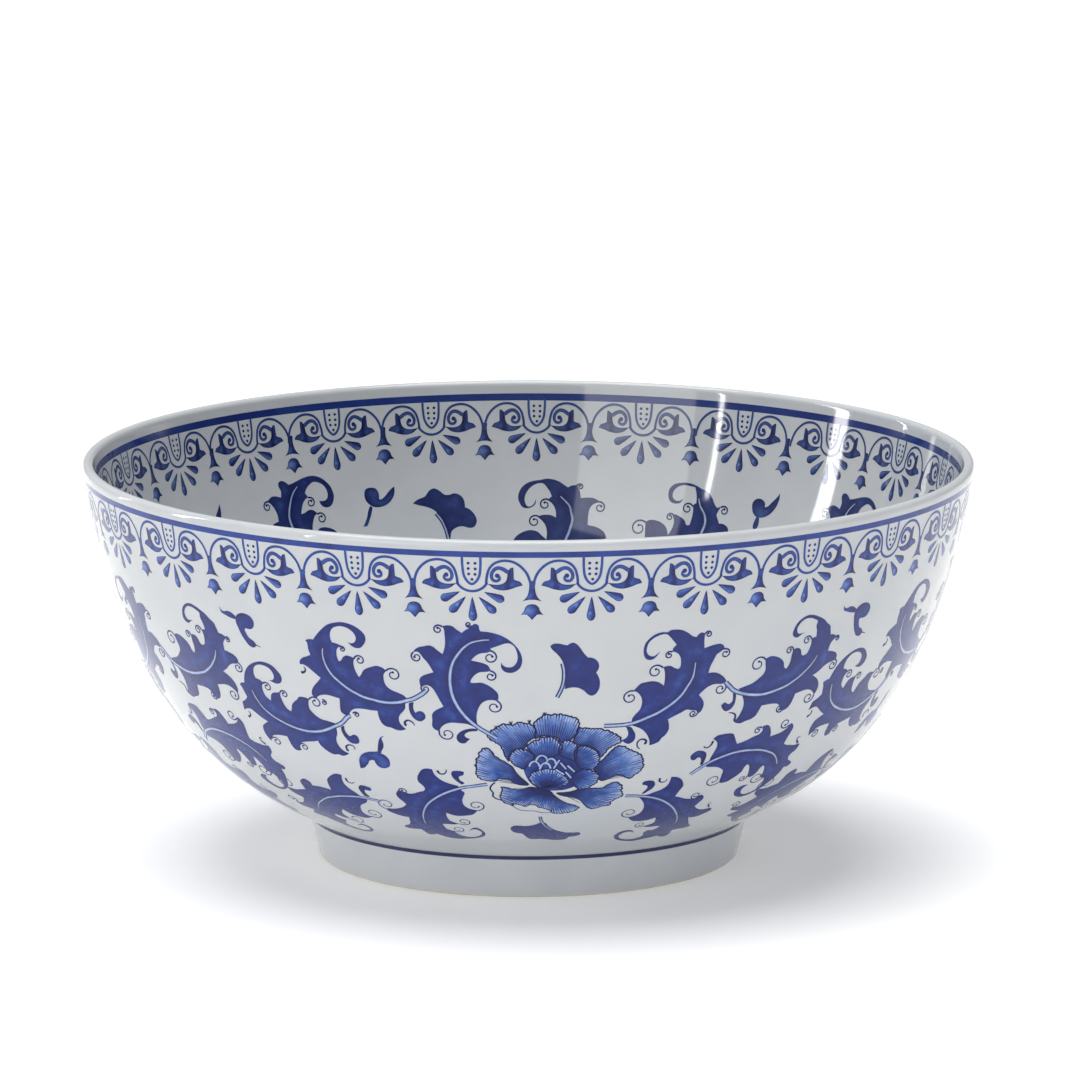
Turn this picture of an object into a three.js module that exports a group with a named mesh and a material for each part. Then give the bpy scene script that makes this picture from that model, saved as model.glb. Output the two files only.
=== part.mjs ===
// Porcelain serving bowl in millimetres, +Z up, standing on its foot ring.
// The bowl's axis is Z and the origin is the centre of the plane it stands on.
// Potter's order: a thrown porcelain body, a foot ring luted under it, three painted cobalt lines,
// and the coats of glaze that cover the outside, the lip, the inside, the foot and the recess.
import * as THREE from 'three';

// Whole bowl
const RIM_RADIUS = 178;
const BOWL_HEIGHT = 161;
const LIP_THICKNESS = 4.8;
const FACETS_ROUND = 60;

// Wall curve: one cubic curve from the foot joint to the lip, set by its two ends, two angles and two pulls
const WALL_FOOT_RADIUS = 88.9;
const WALL_ANGLE_AT_FOOT = THREE.MathUtils.degToRad(29.7);
const WALL_PULL_AT_FOOT = 34.4;
const WALL_LEAN_AT_RIM = THREE.MathUtils.degToRad(9.9);
const WALL_PULL_AT_RIM = 108.6;
const WALL_THICKNESS_AT_FOOT = 7.5;
const WALL_STATIONS = 8;

// Well: the flat floor of the bowl's inside
const WELL_FLOOR_HEIGHT = 22.5;
const WELL_STATIONS = 3;

// Foot ring and the shallow spigot under the body that centres it
const FOOT_HEIGHT = 18;
const FOOT_OUTER_RADIUS_AT_FLOOR = 84;
const FOOT_OUTER_RADIUS_AT_WALL = 87.9;
const FOOT_INNER_RADIUS_AT_FLOOR = 77.5;
const FOOT_INNER_RADIUS_AT_CEILING = 75.5;
const FOOT_EDGE_BEVEL = 1.2;
const SPIGOT_DEPTH = 2;

// Coats: glaze and painted lines share one thickness and keep a hair of clearance to their neighbours
const COAT = 0.5;
const CLEARANCE = 0.05;
const LIP_STATIONS = 5;

// Painted lines, each as its distance from the widest point of the lip along the wall, or its height
const OUTER_LINE_START = 1.3;
const OUTER_LINE_END = 3.7;
const INNER_LINE_START = 3.2;
const INNER_LINE_END = 6.2;
const FOOT_LINE_HEIGHT = 1.8;

const materials = {
  porcelain: { color: 0xe4e3dc, roughness: 0.85 },
  glaze: { color: 0xd6dbdf, roughness: 0.12 },
  cobalt: { color: 0x39488a, roughness: 0.14 },
};

const point = (r, z) => new THREE.Vector2(r, z);

// ---- The wall curve and the two skins of the wall ----

const lipCentre = point(RIM_RADIUS - LIP_THICKNESS / 2, BOWL_HEIGHT - LIP_THICKNESS / 2);
const rimNormal = point(Math.cos(WALL_LEAN_AT_RIM), -Math.sin(WALL_LEAN_AT_RIM));
const wallFoot = point(WALL_FOOT_RADIUS, FOOT_HEIGHT);
const wallRim = lipCentre.clone().addScaledVector(rimNormal, LIP_THICKNESS / 2);
const footPull = point(Math.cos(WALL_ANGLE_AT_FOOT), Math.sin(WALL_ANGLE_AT_FOOT));
const rimPull = point(Math.sin(WALL_LEAN_AT_RIM), Math.cos(WALL_LEAN_AT_RIM));
const wallCurve = new THREE.CubicBezierCurve(
  wallFoot,
  wallFoot.clone().addScaledVector(footPull, WALL_PULL_AT_FOOT),
  wallRim.clone().addScaledVector(rimPull, -WALL_PULL_AT_RIM),
  wallRim,
);
const wallLength = wallCurve.getLength();

// A point at a distance along the wall below the lip, sunk by a depth into the wall from its outside
function wallPoint(distance, depth) {
  const u = 1 - distance / wallLength;
  const tangent = wallCurve.getTangentAt(u);
  return wallCurve.getPointAt(u).add(point(-tangent.y, tangent.x).multiplyScalar(depth));
}

const thicknessAt = (distance) =>
  THREE.MathUtils.lerp(LIP_THICKNESS, WALL_THICKNESS_AT_FOOT, distance / wallLength);

const outerSkin = (distance, depth) => wallPoint(distance, depth);
const innerSkin = (distance, depth) => wallPoint(distance, thicknessAt(distance) - depth);

// Points along one skin between two distances, at one depth under it
function along(skin, from, to, depth, stations) {
  const steps = Array.from({ length: stations + 1 }, (_, i) => i / stations);
  return steps.map((step) => skin(THREE.MathUtils.lerp(from, to, step), depth));
}

// The round lip from its outside to its inside, at one depth under it
function lipArc(depth) {
  const radius = LIP_THICKNESS / 2 - depth;
  const steps = Array.from({ length: LIP_STATIONS - 1 }, (_, i) => (i + 1) / LIP_STATIONS);
  return steps.map((step) => {
    const angle = step * Math.PI - WALL_LEAN_AT_RIM;
    return point(lipCentre.x + radius * Math.cos(angle), lipCentre.y + radius * Math.sin(angle));
  });
}

// The well from the end of the inside wall to the axis, at one depth under it
function wellCurve(depth) {
  const start = innerSkin(wallLength, depth);
  const floor = WELL_FLOOR_HEIGHT - depth;
  const corner = point(start.x - (start.y - floor) / Math.tan(WALL_ANGLE_AT_FOOT), floor);
  const bend = new THREE.QuadraticBezierCurve(start, corner, point(2 * corner.x - start.x, floor));
  return [...bend.getPoints(WELL_STATIONS).slice(1), point(0, floor)];
}

// ---- Solids of revolution ----

// A mesh from a profile that is closed on itself or starts and ends on the axis
function revolve(name, profile, finish) {
  const onAxis = profile[0].x === 0 && profile.at(-1).x === 0;
  const outline = onAxis ? profile : [...profile, profile[0]];
  const area = THREE.ShapeUtils.area(profile);
  const anticlockwise = area > 0 ? outline : outline.toReversed();
  const geometry = new THREE.LatheGeometry(anticlockwise, FACETS_ROUND);
  geometry.rotateX(Math.PI / 2);
  const mesh = new THREE.Mesh(geometry, new THREE.MeshStandardMaterial({ ...finish, metalness: 0 }));
  mesh.name = name;
  return mesh;
}

// A coat on one skin of the wall between two distances from the lip
function coatProfile(skin, from, to, stations) {
  const start = from + CLEARANCE;
  const end = to - CLEARANCE;
  const face = along(skin, start, end, 0, stations);
  const back = along(skin, start, end, COAT, stations);
  return [...face, ...back.reverse()];
}

// ---- Body and foot ----

function porcelainBody() {
  const bed = COAT + CLEARANCE;
  const ceiling = FOOT_HEIGHT - SPIGOT_DEPTH;
  const spigotRadius = FOOT_INNER_RADIUS_AT_CEILING - CLEARANCE;
  const profile = [
    point(0, ceiling),
    point(spigotRadius, ceiling),
    point(spigotRadius, FOOT_HEIGHT),
    ...along(outerSkin, wallLength, OUTER_LINE_END, bed, WALL_STATIONS),
    outerSkin(0, bed),
    ...lipArc(bed),
    innerSkin(0, bed),
    ...along(innerSkin, INNER_LINE_END, wallLength, bed, WALL_STATIONS),
    ...wellCurve(bed),
  ];
  return revolve('porcelain_body', profile, materials.porcelain);
}

// Radius of the foot ring's tapered outside and inside at a height
const footOuterRadius = (z) =>
  THREE.MathUtils.lerp(FOOT_OUTER_RADIUS_AT_FLOOR, FOOT_OUTER_RADIUS_AT_WALL, z / FOOT_HEIGHT);
const footInnerRadius = (z) =>
  THREE.MathUtils.lerp(FOOT_INNER_RADIUS_AT_FLOOR, FOOT_INNER_RADIUS_AT_CEILING, z / FOOT_HEIGHT);

function footRing() {
  const bed = COAT + CLEARANCE;
  const bevel = FOOT_EDGE_BEVEL;
  const top = FOOT_HEIGHT - CLEARANCE;
  const profile = [
    point(FOOT_INNER_RADIUS_AT_FLOOR + bevel, 0),
    point(FOOT_OUTER_RADIUS_AT_FLOOR - bevel, 0),
    point(footOuterRadius(bevel) - bed, bevel),
    point(footOuterRadius(top) - bed, top),
    point(footInnerRadius(top) + bed, top),
    point(footInnerRadius(bevel) + bed, bevel),
  ];
  return revolve('foot_ring', profile, materials.porcelain);
}

// A coat on the outside of the foot ring between two heights
function footCoat(name, low, high, finish) {
  const profile = [
    point(footOuterRadius(low) - COAT, low),
    point(footOuterRadius(low), low),
    point(footOuterRadius(high), high),
    point(footOuterRadius(high) - COAT, high),
  ];
  return revolve(name, profile, finish);
}

// ---- Coats of glaze and painted lines ----

function lipGlaze() {
  const outside = OUTER_LINE_START - CLEARANCE;
  const inside = INNER_LINE_START - CLEARANCE;
  const shell = (depth) => [
    outerSkin(outside, depth),
    outerSkin(0, depth),
    ...lipArc(depth),
    innerSkin(0, depth),
    innerSkin(inside, depth),
  ];
  return revolve('lip_glaze', [...shell(0), ...shell(COAT).reverse()], materials.glaze);
}

function outerGlaze() {
  const profile = coatProfile(outerSkin, OUTER_LINE_END, wallLength, WALL_STATIONS);
  return revolve('outer_glaze', profile, materials.glaze);
}

function innerGlaze() {
  const shell = (depth) => [
    ...along(innerSkin, INNER_LINE_END + CLEARANCE, wallLength, depth, WALL_STATIONS),
    ...wellCurve(depth),
  ];
  const profile = [...shell(0).reverse(), ...shell(COAT)];
  return revolve('inner_glaze', profile, materials.glaze);
}

function recessGlaze() {
  const ceiling = FOOT_HEIGHT - SPIGOT_DEPTH - CLEARANCE;
  const low = FOOT_EDGE_BEVEL + CLEARANCE;
  const profile = [
    point(0, ceiling - COAT),
    point(footInnerRadius(ceiling) - COAT, ceiling - COAT),
    point(footInnerRadius(low) - COAT, low),
    point(footInnerRadius(low), low),
    point(footInnerRadius(ceiling), ceiling),
    point(0, ceiling),
  ];
  return revolve('recess_glaze', profile, materials.glaze);
}

function outerRimLine() {
  const profile = coatProfile(outerSkin, OUTER_LINE_START, OUTER_LINE_END, 1);
  return revolve('outer_rim_line', profile, materials.cobalt);
}

function innerRimLine() {
  const profile = coatProfile(innerSkin, INNER_LINE_START, INNER_LINE_END, 1);
  return revolve('inner_rim_line', profile, materials.cobalt);
}

const footTop = FOOT_HEIGHT - CLEARANCE;
const footLineLow = FOOT_HEIGHT - FOOT_LINE_HEIGHT;

const bowl = new THREE.Group();
bowl.add(
  porcelainBody(),
  footRing(),
  outerGlaze(),
  lipGlaze(),
  innerGlaze(),
  footCoat('foot_glaze', FOOT_EDGE_BEVEL + CLEARANCE, footLineLow - CLEARANCE, materials.glaze),
  recessGlaze(),
  outerRimLine(),
  innerRimLine(),
  footCoat('foot_line', footLineLow, footTop, materials.cobalt),
);

export default bowl;
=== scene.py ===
import math
import random

import bpy
import numpy as np
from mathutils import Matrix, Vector, noise
from mathutils.geometry import delaunay_2d_cdt


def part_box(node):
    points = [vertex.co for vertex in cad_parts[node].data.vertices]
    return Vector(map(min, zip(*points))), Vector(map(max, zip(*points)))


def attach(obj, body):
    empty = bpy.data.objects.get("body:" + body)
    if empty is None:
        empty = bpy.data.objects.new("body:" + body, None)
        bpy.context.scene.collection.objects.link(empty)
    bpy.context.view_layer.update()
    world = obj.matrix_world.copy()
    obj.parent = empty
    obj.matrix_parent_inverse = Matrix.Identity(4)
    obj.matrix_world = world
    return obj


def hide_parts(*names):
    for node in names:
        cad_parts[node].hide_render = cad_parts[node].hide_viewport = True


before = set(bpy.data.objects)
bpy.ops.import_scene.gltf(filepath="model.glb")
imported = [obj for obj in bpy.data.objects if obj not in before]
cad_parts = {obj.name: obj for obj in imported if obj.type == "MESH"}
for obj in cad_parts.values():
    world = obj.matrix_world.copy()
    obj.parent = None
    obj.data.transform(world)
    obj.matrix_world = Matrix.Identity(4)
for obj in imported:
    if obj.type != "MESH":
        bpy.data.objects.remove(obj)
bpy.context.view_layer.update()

MM = 0.001
FULL_TURN = 2 * math.pi

# ---------------------------------------------------------------- The bowl's measurements
# The hair of clearance that the CAD keeps between neighbouring solids
CLEARANCE = 0.05
BOWL_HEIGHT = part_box("lip_glaze")[1].z / MM
FOOT_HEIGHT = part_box("foot_ring")[1].z / MM + CLEARANCE
LIP_RADIUS = 2.4
LIP_THICKNESS = 2 * LIP_RADIUS
LIP_CENTRE = np.array([175.6, BOWL_HEIGHT - LIP_RADIUS])
WALL_FOOT = np.array([88.9, FOOT_HEIGHT])
WALL_ANGLE_AT_FOOT = math.radians(29.7)
WALL_PULL_AT_FOOT = 34.4
WALL_LEAN_AT_RIM = math.radians(9.9)
WALL_PULL_AT_RIM = 108.6
WALL_THICKNESS_AT_FOOT = 7.5
WELL_FLOOR_HEIGHT = 22.5
RECESS_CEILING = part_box("porcelain_body")[0].z / MM
FOOT_OUTER_AT_FLOOR, FOOT_OUTER_AT_WALL = 84.0, 87.9
FOOT_INNER_AT_FLOOR, FOOT_INNER_AT_CEILING = 77.5, 75.5
FOOT_EDGE_ROUNDING = 1.2
FOOT_LINE_HEIGHT = 1.8
COAT = 0.5
OUTER_LINE_START, OUTER_LINE_END = 1.3, 3.7
INNER_LINE_START, INNER_LINE_END = 3.2, 6.2
BODY_BED = COAT + CLEARANCE

# Fineness of the surfaces of revolution
FACETS_ROUND = 320
WALL_STATIONS = 72
LIP_STATIONS = 16
WELL_STATIONS = 12
CREASE = math.radians(28)
AXIS_REACH = 1e-6

# ---------------------------------------------------------------- The wall curve and its two skins
CURVE_SAMPLES = 4000


def wall_curve():
    """The wall's outside from the lip down to the foot: points, unit tangents and distance from the lip."""
    rim_normal = np.array([math.cos(WALL_LEAN_AT_RIM), -math.sin(WALL_LEAN_AT_RIM)])
    rim = LIP_CENTRE + LIP_RADIUS * rim_normal
    foot_pull = np.array([math.cos(WALL_ANGLE_AT_FOOT), math.sin(WALL_ANGLE_AT_FOOT)])
    rim_pull = np.array([math.sin(WALL_LEAN_AT_RIM), math.cos(WALL_LEAN_AT_RIM)])
    a, b = rim, rim - WALL_PULL_AT_RIM * rim_pull
    c, d = WALL_FOOT + WALL_PULL_AT_FOOT * foot_pull, WALL_FOOT
    t = np.linspace(0, 1, CURVE_SAMPLES)[:, None]
    points = (1 - t) ** 3 * a + 3 * (1 - t) ** 2 * t * b + 3 * (1 - t) * t**2 * c + t**3 * d
    steps = np.hypot(*np.diff(points, axis=0).T)
    distance = np.concatenate([[0], np.cumsum(steps)])
    tangent = np.gradient(points, axis=0)
    return points, tangent / np.hypot(*tangent.T)[:, None], distance


CURVE, CURVE_TANGENT, CURVE_DISTANCE = wall_curve()
WALL_LENGTH = CURVE_DISTANCE[-1]


def wall_point(distance, depth):
    """Points (radius, height) at distances below the lip, sunk by a depth into the wall from its outside."""
    distance = np.asarray(distance, float)

    def at(values):
        return np.interp(distance, CURVE_DISTANCE, values)

    inward = np.stack([at(CURVE_TANGENT[:, 1]), -at(CURVE_TANGENT[:, 0])], -1)
    return np.stack([at(CURVE[:, 0]), at(CURVE[:, 1])], -1) + inward * np.asarray(depth)[..., None]


def outer_skin(distance, depth=0.0):
    return wall_point(distance, np.full(np.shape(distance), depth))


def inner_skin(distance, depth=0.0):
    share = np.asarray(distance, float) / WALL_LENGTH
    return wall_point(distance, LIP_THICKNESS + (WALL_THICKNESS_AT_FOOT - LIP_THICKNESS) * share - depth)


def along(skin, start, end, depth=0.0, stations=WALL_STATIONS):
    return skin(np.linspace(start, end, stations + 1), depth)


def lip_arc(depth=0.0):
    """The round lip from its outside over to its inside."""
    angle = np.linspace(0, math.pi, LIP_STATIONS + 1)[1:-1] - WALL_LEAN_AT_RIM
    return LIP_CENTRE + (LIP_RADIUS - depth) * np.stack([np.cos(angle), np.sin(angle)], -1)


def well_curve(depth=0.0):
    """The well from the end of the inside wall to the axis."""
    start = inner_skin([WALL_LENGTH], depth)[0]
    floor = WELL_FLOOR_HEIGHT - depth
    corner = np.array([start[0] - (start[1] - floor) / math.tan(WALL_ANGLE_AT_FOOT), floor])
    end = np.array([2 * corner[0] - start[0], floor])
    t = np.linspace(0, 1, WELL_STATIONS + 1)[1:, None]
    bend = (1 - t) ** 2 * start + 2 * t * (1 - t) * corner + t**2 * end
    flat = np.stack([np.linspace(end[0], 0, WELL_STATIONS)[1:], np.full(WELL_STATIONS - 1, floor)], -1)
    return np.concatenate([bend, flat])


def foot_side(outside, low, high, depth):
    """The foot ring's tapered side between two heights, sunk by a depth."""
    z = np.array([low, high])
    at_floor, at_top = (FOOT_OUTER_AT_FLOOR, FOOT_OUTER_AT_WALL) if outside else (
        FOOT_INNER_AT_FLOOR, FOOT_INNER_AT_CEILING)
    r = at_floor + (at_top - at_floor) * z / FOOT_HEIGHT
    return np.stack([r - depth if outside else r + depth, z], -1)


# ---------------------------------------------------------------- Making meshes
def new_piece(name, vertices, faces, material, normals=None):
    """A mesh object in metres that rides on the bowl and takes its finish from a material slot."""
    mesh = bpy.data.meshes.new(name)
    mesh.from_pydata(np.asarray(vertices).tolist(), [], faces)
    mesh.shade_smooth()
    if normals is not None:
        mesh.normals_split_custom_set_from_vertices(np.asarray(normals).tolist())
    mesh.materials.append(material)
    piece = bpy.data.objects.new(name, mesh)
    bpy.context.scene.collection.objects.link(piece)
    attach(piece, "root")
    return piece


def revolve(name, profile, material, node):
    """A closed solid of revolution. Its profile goes once round the solid's section (radius, height)."""
    profile = np.asarray(profile, float)
    ahead = np.roll(profile, -1, axis=0)
    if np.sum(profile[:, 0] * ahead[:, 1] - ahead[:, 0] * profile[:, 1]) < 0:
        profile = profile[::-1]
    angle = np.arange(FACETS_ROUND) * FULL_TURN / FACETS_ROUND
    vertices, rings = [], []
    for r, z in profile:
        on_axis = r < AXIS_REACH
        rings.append((len(vertices), on_axis))
        if on_axis:
            vertices.append((0.0, 0.0, z))
        else:
            vertices += [(r * math.cos(a), r * math.sin(a), z) for a in angle]
    faces = []
    for i in range(len(rings)):
        (low, low_axis), (high, high_axis) = rings[i], rings[(i + 1) % len(rings)]
        if low_axis and high_axis:
            continue
        for k in range(FACETS_ROUND):
            n = (k + 1) % FACETS_ROUND
            if low_axis:
                faces.append((low, high + n, high + k))
            elif high_axis:
                faces.append((low + k, low + n, high))
            else:
                faces.append((low + k, low + n, high + n, high + k))
    piece = new_piece(name, np.array(vertices) * MM, faces, material)
    piece.data.set_sharp_from_angle(angle=CREASE)
    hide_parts(node)
    return piece


# ---------------------------------------------------------------- The painter's chart
# Painting is drawn on a flat chart of the wall: x runs round the bowl from the middle of its front, towards
# the right, and y runs down from the lip. The chart keeps shapes true; CHART mm of x is one radian.
CHART = 160.0


class Side:
    """One painted side of the wall. It lays chart points on the glaze."""

    def __init__(self, skin, outside):
        distance = np.linspace(0, WALL_LENGTH, CURVE_SAMPLES)
        profile = skin(distance)
        step = np.hypot(*np.diff(profile, axis=0).T)
        radius = (profile[1:, 0] + profile[:-1, 0]) / 2
        self.radius, self.height = profile.T
        self.chart_y = CHART * np.concatenate([[0], np.cumsum(step / radius)])
        tangent = np.gradient(profile, axis=0)
        tangent /= np.hypot(*tangent.T)[:, None]
        normal = np.stack([-tangent[:, 1], tangent[:, 0]], -1)
        self.normal = normal if outside else -normal
        self.front = -1.0 if outside else 1.0

    def lay(self, chart, lift):
        """Chart points raised by a lift off the glaze: places in metres and the glaze's own normals."""
        x, y = np.asarray(chart, float).T

        def at(values):
            return np.interp(y, self.chart_y, values)

        nr, nz = at(self.normal[:, 0]), at(self.normal[:, 1])
        r, z = at(self.radius) + nr * lift, at(self.height) + nz * lift
        sin, cos = np.sin(x / CHART), self.front * np.cos(x / CHART)
        places = np.stack([r * sin, r * cos, z], -1) * MM
        return places, np.stack([nr * sin, nr * cos, nz], -1)


OUTSIDE = Side(outer_skin, True)
INSIDE = Side(inner_skin, False)


# ---------------------------------------------------------------- Brush outlines
STROKE_STEP = 0.55
FILL_GRAIN = 1.25
FILL_ROW = 0.87 * FILL_GRAIN
EDGE_INSET = 0.5
# How much the blue thins at the very edge of a wash, where the cobalt bleeds into the glaze
EDGE_BLEED = 0.3
# How far in from the edge of a wash the colour pools and bleeds, and how broad its patches are
POOL_REACH, BLEED_REACH, PATCH_SIZE = 0.55, 0.1, 5.5
DOT_SIDES = 16
CURL_TURNS, CURL_SHRINK = 1.15, 0.66
STEM_CORE, STEM_FLANK, STEM_LIFT = 0.75, 0.5, 0.07


def numbers(text):
    return np.array([[float(v) for v in pair.split(",")] for pair in text.split()])


def through(points, step=STROKE_STEP):
    """A smooth run through the points in order, sampled about every step mm."""
    p = np.asarray(points, float)
    chord = np.linalg.norm(np.diff(p, axis=0), axis=1)
    gap = np.sqrt(np.maximum(chord, 1e-6))
    slope = np.diff(p, axis=0) / gap[:, None]
    tangent = np.empty_like(p)
    tangent[0], tangent[-1] = slope[0], slope[-1]
    if len(p) > 2:
        before, after = gap[:-1, None], gap[1:, None]
        tangent[1:-1] = (slope[:-1] * after + slope[1:] * before) / (before + after)
        tangent[0] = 1.5 * slope[0] - 0.5 * tangent[1]
        tangent[-1] = 1.5 * slope[-1] - 0.5 * tangent[-2]
    run = []
    for i in range(len(p) - 1):
        count = max(1, round(chord[i] / step))
        u = (np.arange(count) / count)[:, None]
        start, end = p[i], p[i + 1]
        pull_out, pull_in = tangent[i] * gap[i], tangent[i + 1] * gap[i]
        run.append((2 * u**3 - 3 * u**2 + 1) * start + (u**3 - 2 * u**2 + u) * pull_out
                   + (3 * u**2 - 2 * u**3) * end + (u**3 - u**2) * pull_in)
    run.append(p[-1:])
    return np.concatenate(run)


def outline(text):
    """A closed outline from points 'x,y', smooth except at the points followed by '|'."""
    if "|" not in text:
        p = numbers(text)
        wrapped = np.concatenate([p[-3:], p, p[:4]])
        run = through(wrapped)
        start = np.argmin(np.linalg.norm(run - p[0], axis=1))
        ends = np.flatnonzero(np.linalg.norm(run - p[0], axis=1) < 1e-6)
        return run[start:ends[-1]] if len(ends) > 1 else run[start:]
    runs, corner = [], None
    parts = [numbers(part) for part in text.split("|")]
    parts[-1] = np.concatenate([parts[-1], parts[0][:1]])
    for part in parts:
        points = part if corner is None else np.concatenate([[corner], part])
        if len(points) > 1:
            runs.append(through(points)[:-1])
        corner = part[-1]
    return np.concatenate(runs)


def inside(points, loop):
    """Whether each point is inside a closed loop."""
    x, y = points[:, 0:1], points[:, 1:2]
    ax, ay = loop.T
    bx, by = np.roll(loop, -1, axis=0).T
    crosses = (ay > y) != (by > y)
    slope = (bx - ax) / np.where(by == ay, 1e-12, by - ay)
    return (crosses & (x < ax + slope * (y - ay))).sum(axis=1) % 2 == 1


def edge_distance(points, loop):
    """Distance of each point from a closed loop."""
    a, b = loop[None], np.roll(loop, -1, axis=0)[None]
    along_edge = b - a
    length2 = np.maximum((along_edge**2).sum(-1), 1e-12)
    share = np.clip(((points[:, None] - a) * along_edge).sum(-1) / length2, 0, 1)
    return np.sqrt((((a + share[..., None] * along_edge) - points[:, None]) ** 2).sum(-1)).min(axis=1)


def filled(loop):
    """Triangles that fill a loop, fine at its edge: points, faces, and each point's distance from the
    edge."""
    ahead = np.roll(loop, -1, axis=0) - np.roll(loop, 1, axis=0)
    ahead /= np.maximum(np.linalg.norm(ahead, axis=1), 1e-9)[:, None]
    side = np.stack([-ahead[:, 1], ahead[:, 0]], -1)
    rings = np.concatenate([loop + side * EDGE_INSET, loop - side * EDGE_INSET])
    low, high = loop.min(0), loop.max(0)
    columns = np.arange(low[0], high[0], FILL_GRAIN)
    rows = np.arange(low[1], high[1], FILL_ROW)
    grid = np.stack(np.meshgrid(columns, rows), -1)
    grid[1::2, :, 0] += FILL_GRAIN / 2
    grid = grid.reshape(-1, 2)
    grid = grid[inside(grid, loop)]
    grid = grid[edge_distance(grid, loop) > EDGE_INSET + 0.45 * FILL_GRAIN]
    rings = rings[inside(rings, loop)]
    rings = rings[edge_distance(rings, loop) > 0.9 * EDGE_INSET]
    cloud = np.concatenate([loop, rings, grid])
    border = list(range(len(loop)))
    found = delaunay_2d_cdt([Vector(p) for p in cloud.tolist()], [], [border], 1, 1e-5)
    points = np.array([tuple(v) for v in found[0]])
    return points, [tuple(f) for f in found[2]], edge_distance(points, loop)


class Painting:
    """Brushwork gathered on the chart: points, their lift off the glaze, their depth of blue, and faces."""

    def __init__(self):
        self.points, self.lifts, self.blues, self.faces, self.count = [], [], [], [], 0

    def add(self, points, lift, blue, faces):
        self.points.append(points)
        self.lifts.append(np.full(len(points), lift))
        self.blues.append(np.broadcast_to(blue, len(points)).astype(float))
        self.faces += [tuple(self.count + i for i in face) for face in faces]
        self.count += len(points)

    def fill(self, loop, blue=0.62, pool=0.3, patchy=0.12, lift=0.04, shade=None, bleed=EDGE_BLEED):
        """A washed shape: darker where the colour pools at the edge, and patchy as a brush leaves it."""
        points, faces, edge = filled(loop)
        tone = blue + pool * np.exp(-edge / POOL_REACH) - bleed * (edge < BLEED_REACH)
        patches = [noise.noise((x / PATCH_SIZE, y / PATCH_SIZE, blue * 9)) for x, y in points]
        tone = tone + patchy * np.array(patches)
        if shade is not None:
            tone = tone + shade(points)
        self.add(points, lift, tone, faces)

    def stroke(self, path, width, blue=0.8, lift=0.06, edge=0.1, rounded=True):
        """A brush stroke along a path. Width is one number, or one per point of the path."""
        path = np.asarray(path, float)
        width = np.broadcast_to(np.asarray(width, float), len(path)).copy()
        ahead = np.gradient(path, axis=0)
        ahead /= np.maximum(np.linalg.norm(ahead, axis=1), 1e-9)[:, None]
        if rounded:
            cap = np.array([0.45, 0.8, 1.0])
            size = np.sqrt(1 - cap**2) + 0.02
            head = path[0] - ahead[0] * (cap[::-1, None] * width[0] / 2)
            tail = path[-1] + ahead[-1] * (cap[:, None] * width[-1] / 2)
            path = np.concatenate([head, path, tail])
            ahead = np.concatenate([np.repeat(ahead[:1], 3, 0), ahead, np.repeat(ahead[-1:], 3, 0)])
            width = np.concatenate([width[0] * size[::-1], width, width[-1] * size])
        side = np.stack([-ahead[:, 1], ahead[:, 0]], -1)
        across = np.array([-0.5, -0.25, 0.0, 0.25, 0.5])
        points = path[:, None] + side[:, None] * (across[None, :, None] * width[:, None, None])
        tones = blue + edge * np.array([1.0, 0.3, 0.0, 0.3, 1.0])
        n = len(across)
        faces = [(i * n + k, (i + 1) * n + k, (i + 1) * n + k + 1, i * n + k + 1)
                 for i in range(len(path) - 1) for k in range(n - 1)]
        self.add(points.reshape(-1, 2), lift, np.tile(tones, len(path)), faces)

    def dot(self, centre, radius, blue=0.8, lift=0.06):
        """A round dot: a fan of triangles inside a ring of quads."""
        n = DOT_SIDES
        angle = np.linspace(0, FULL_TURN, n + 1)[:-1]
        rim = np.stack([np.cos(angle), np.sin(angle)], -1)
        points = np.concatenate([[[0, 0]], rim * 0.6, rim]) * radius + np.asarray(centre, float)
        faces = [(0, 1 + i, 1 + (i + 1) % n) for i in range(n)]
        faces += [(1 + i, 1 + n + i, 1 + n + (i + 1) % n, 1 + (i + 1) % n) for i in range(n)]
        self.add(points, lift, blue, faces)

    def curl(self, root, centre, sense, blue=0.72):
        """A thin tendril that winds in from its root round a centre and ends in a small drop."""
        spoke = np.subtract(root, centre)
        radius, start = np.hypot(*spoke), math.atan2(spoke[1], spoke[0])
        steps = max(14, int(FULL_TURN * CURL_TURNS * radius / STROKE_STEP))
        share = np.linspace(0, 1, steps)
        angle = start + sense * share * CURL_TURNS * FULL_TURN
        reach = radius * (1 - CURL_SHRINK * share**0.85)
        path = np.asarray(centre) + reach[:, None] * np.stack([np.cos(angle), np.sin(angle)], -1)
        self.stroke(path, 0.78 - 0.3 * share**0.5, blue, edge=-0.1)
        self.dot(path[-1], min(0.52, 0.36 + 0.08 * radius), blue, lift=0.065)

    def stem(self, path):
        """A pale stalk between two dark lines."""
        full = STEM_CORE + 2 * STEM_FLANK
        self.stroke(path, full, 0.9, lift=STEM_LIFT - 0.012, rounded=False)
        self.stroke(path, STEM_CORE, 0.08, lift=STEM_LIFT, edge=0.16, rounded=False)

    def merge(self, other):
        """Another painting's brushwork, added to this one's."""
        self.points += other.points
        self.lifts += other.lifts
        self.blues += other.blues
        self.faces += [tuple(self.count + i for i in face) for face in other.faces]
        self.count += other.count

    def facing_out(self):
        """The faces as the bowl needs them. The chart's y runs down, so each one is turned over."""
        return [face[::-1] for face in self.faces]

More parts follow.
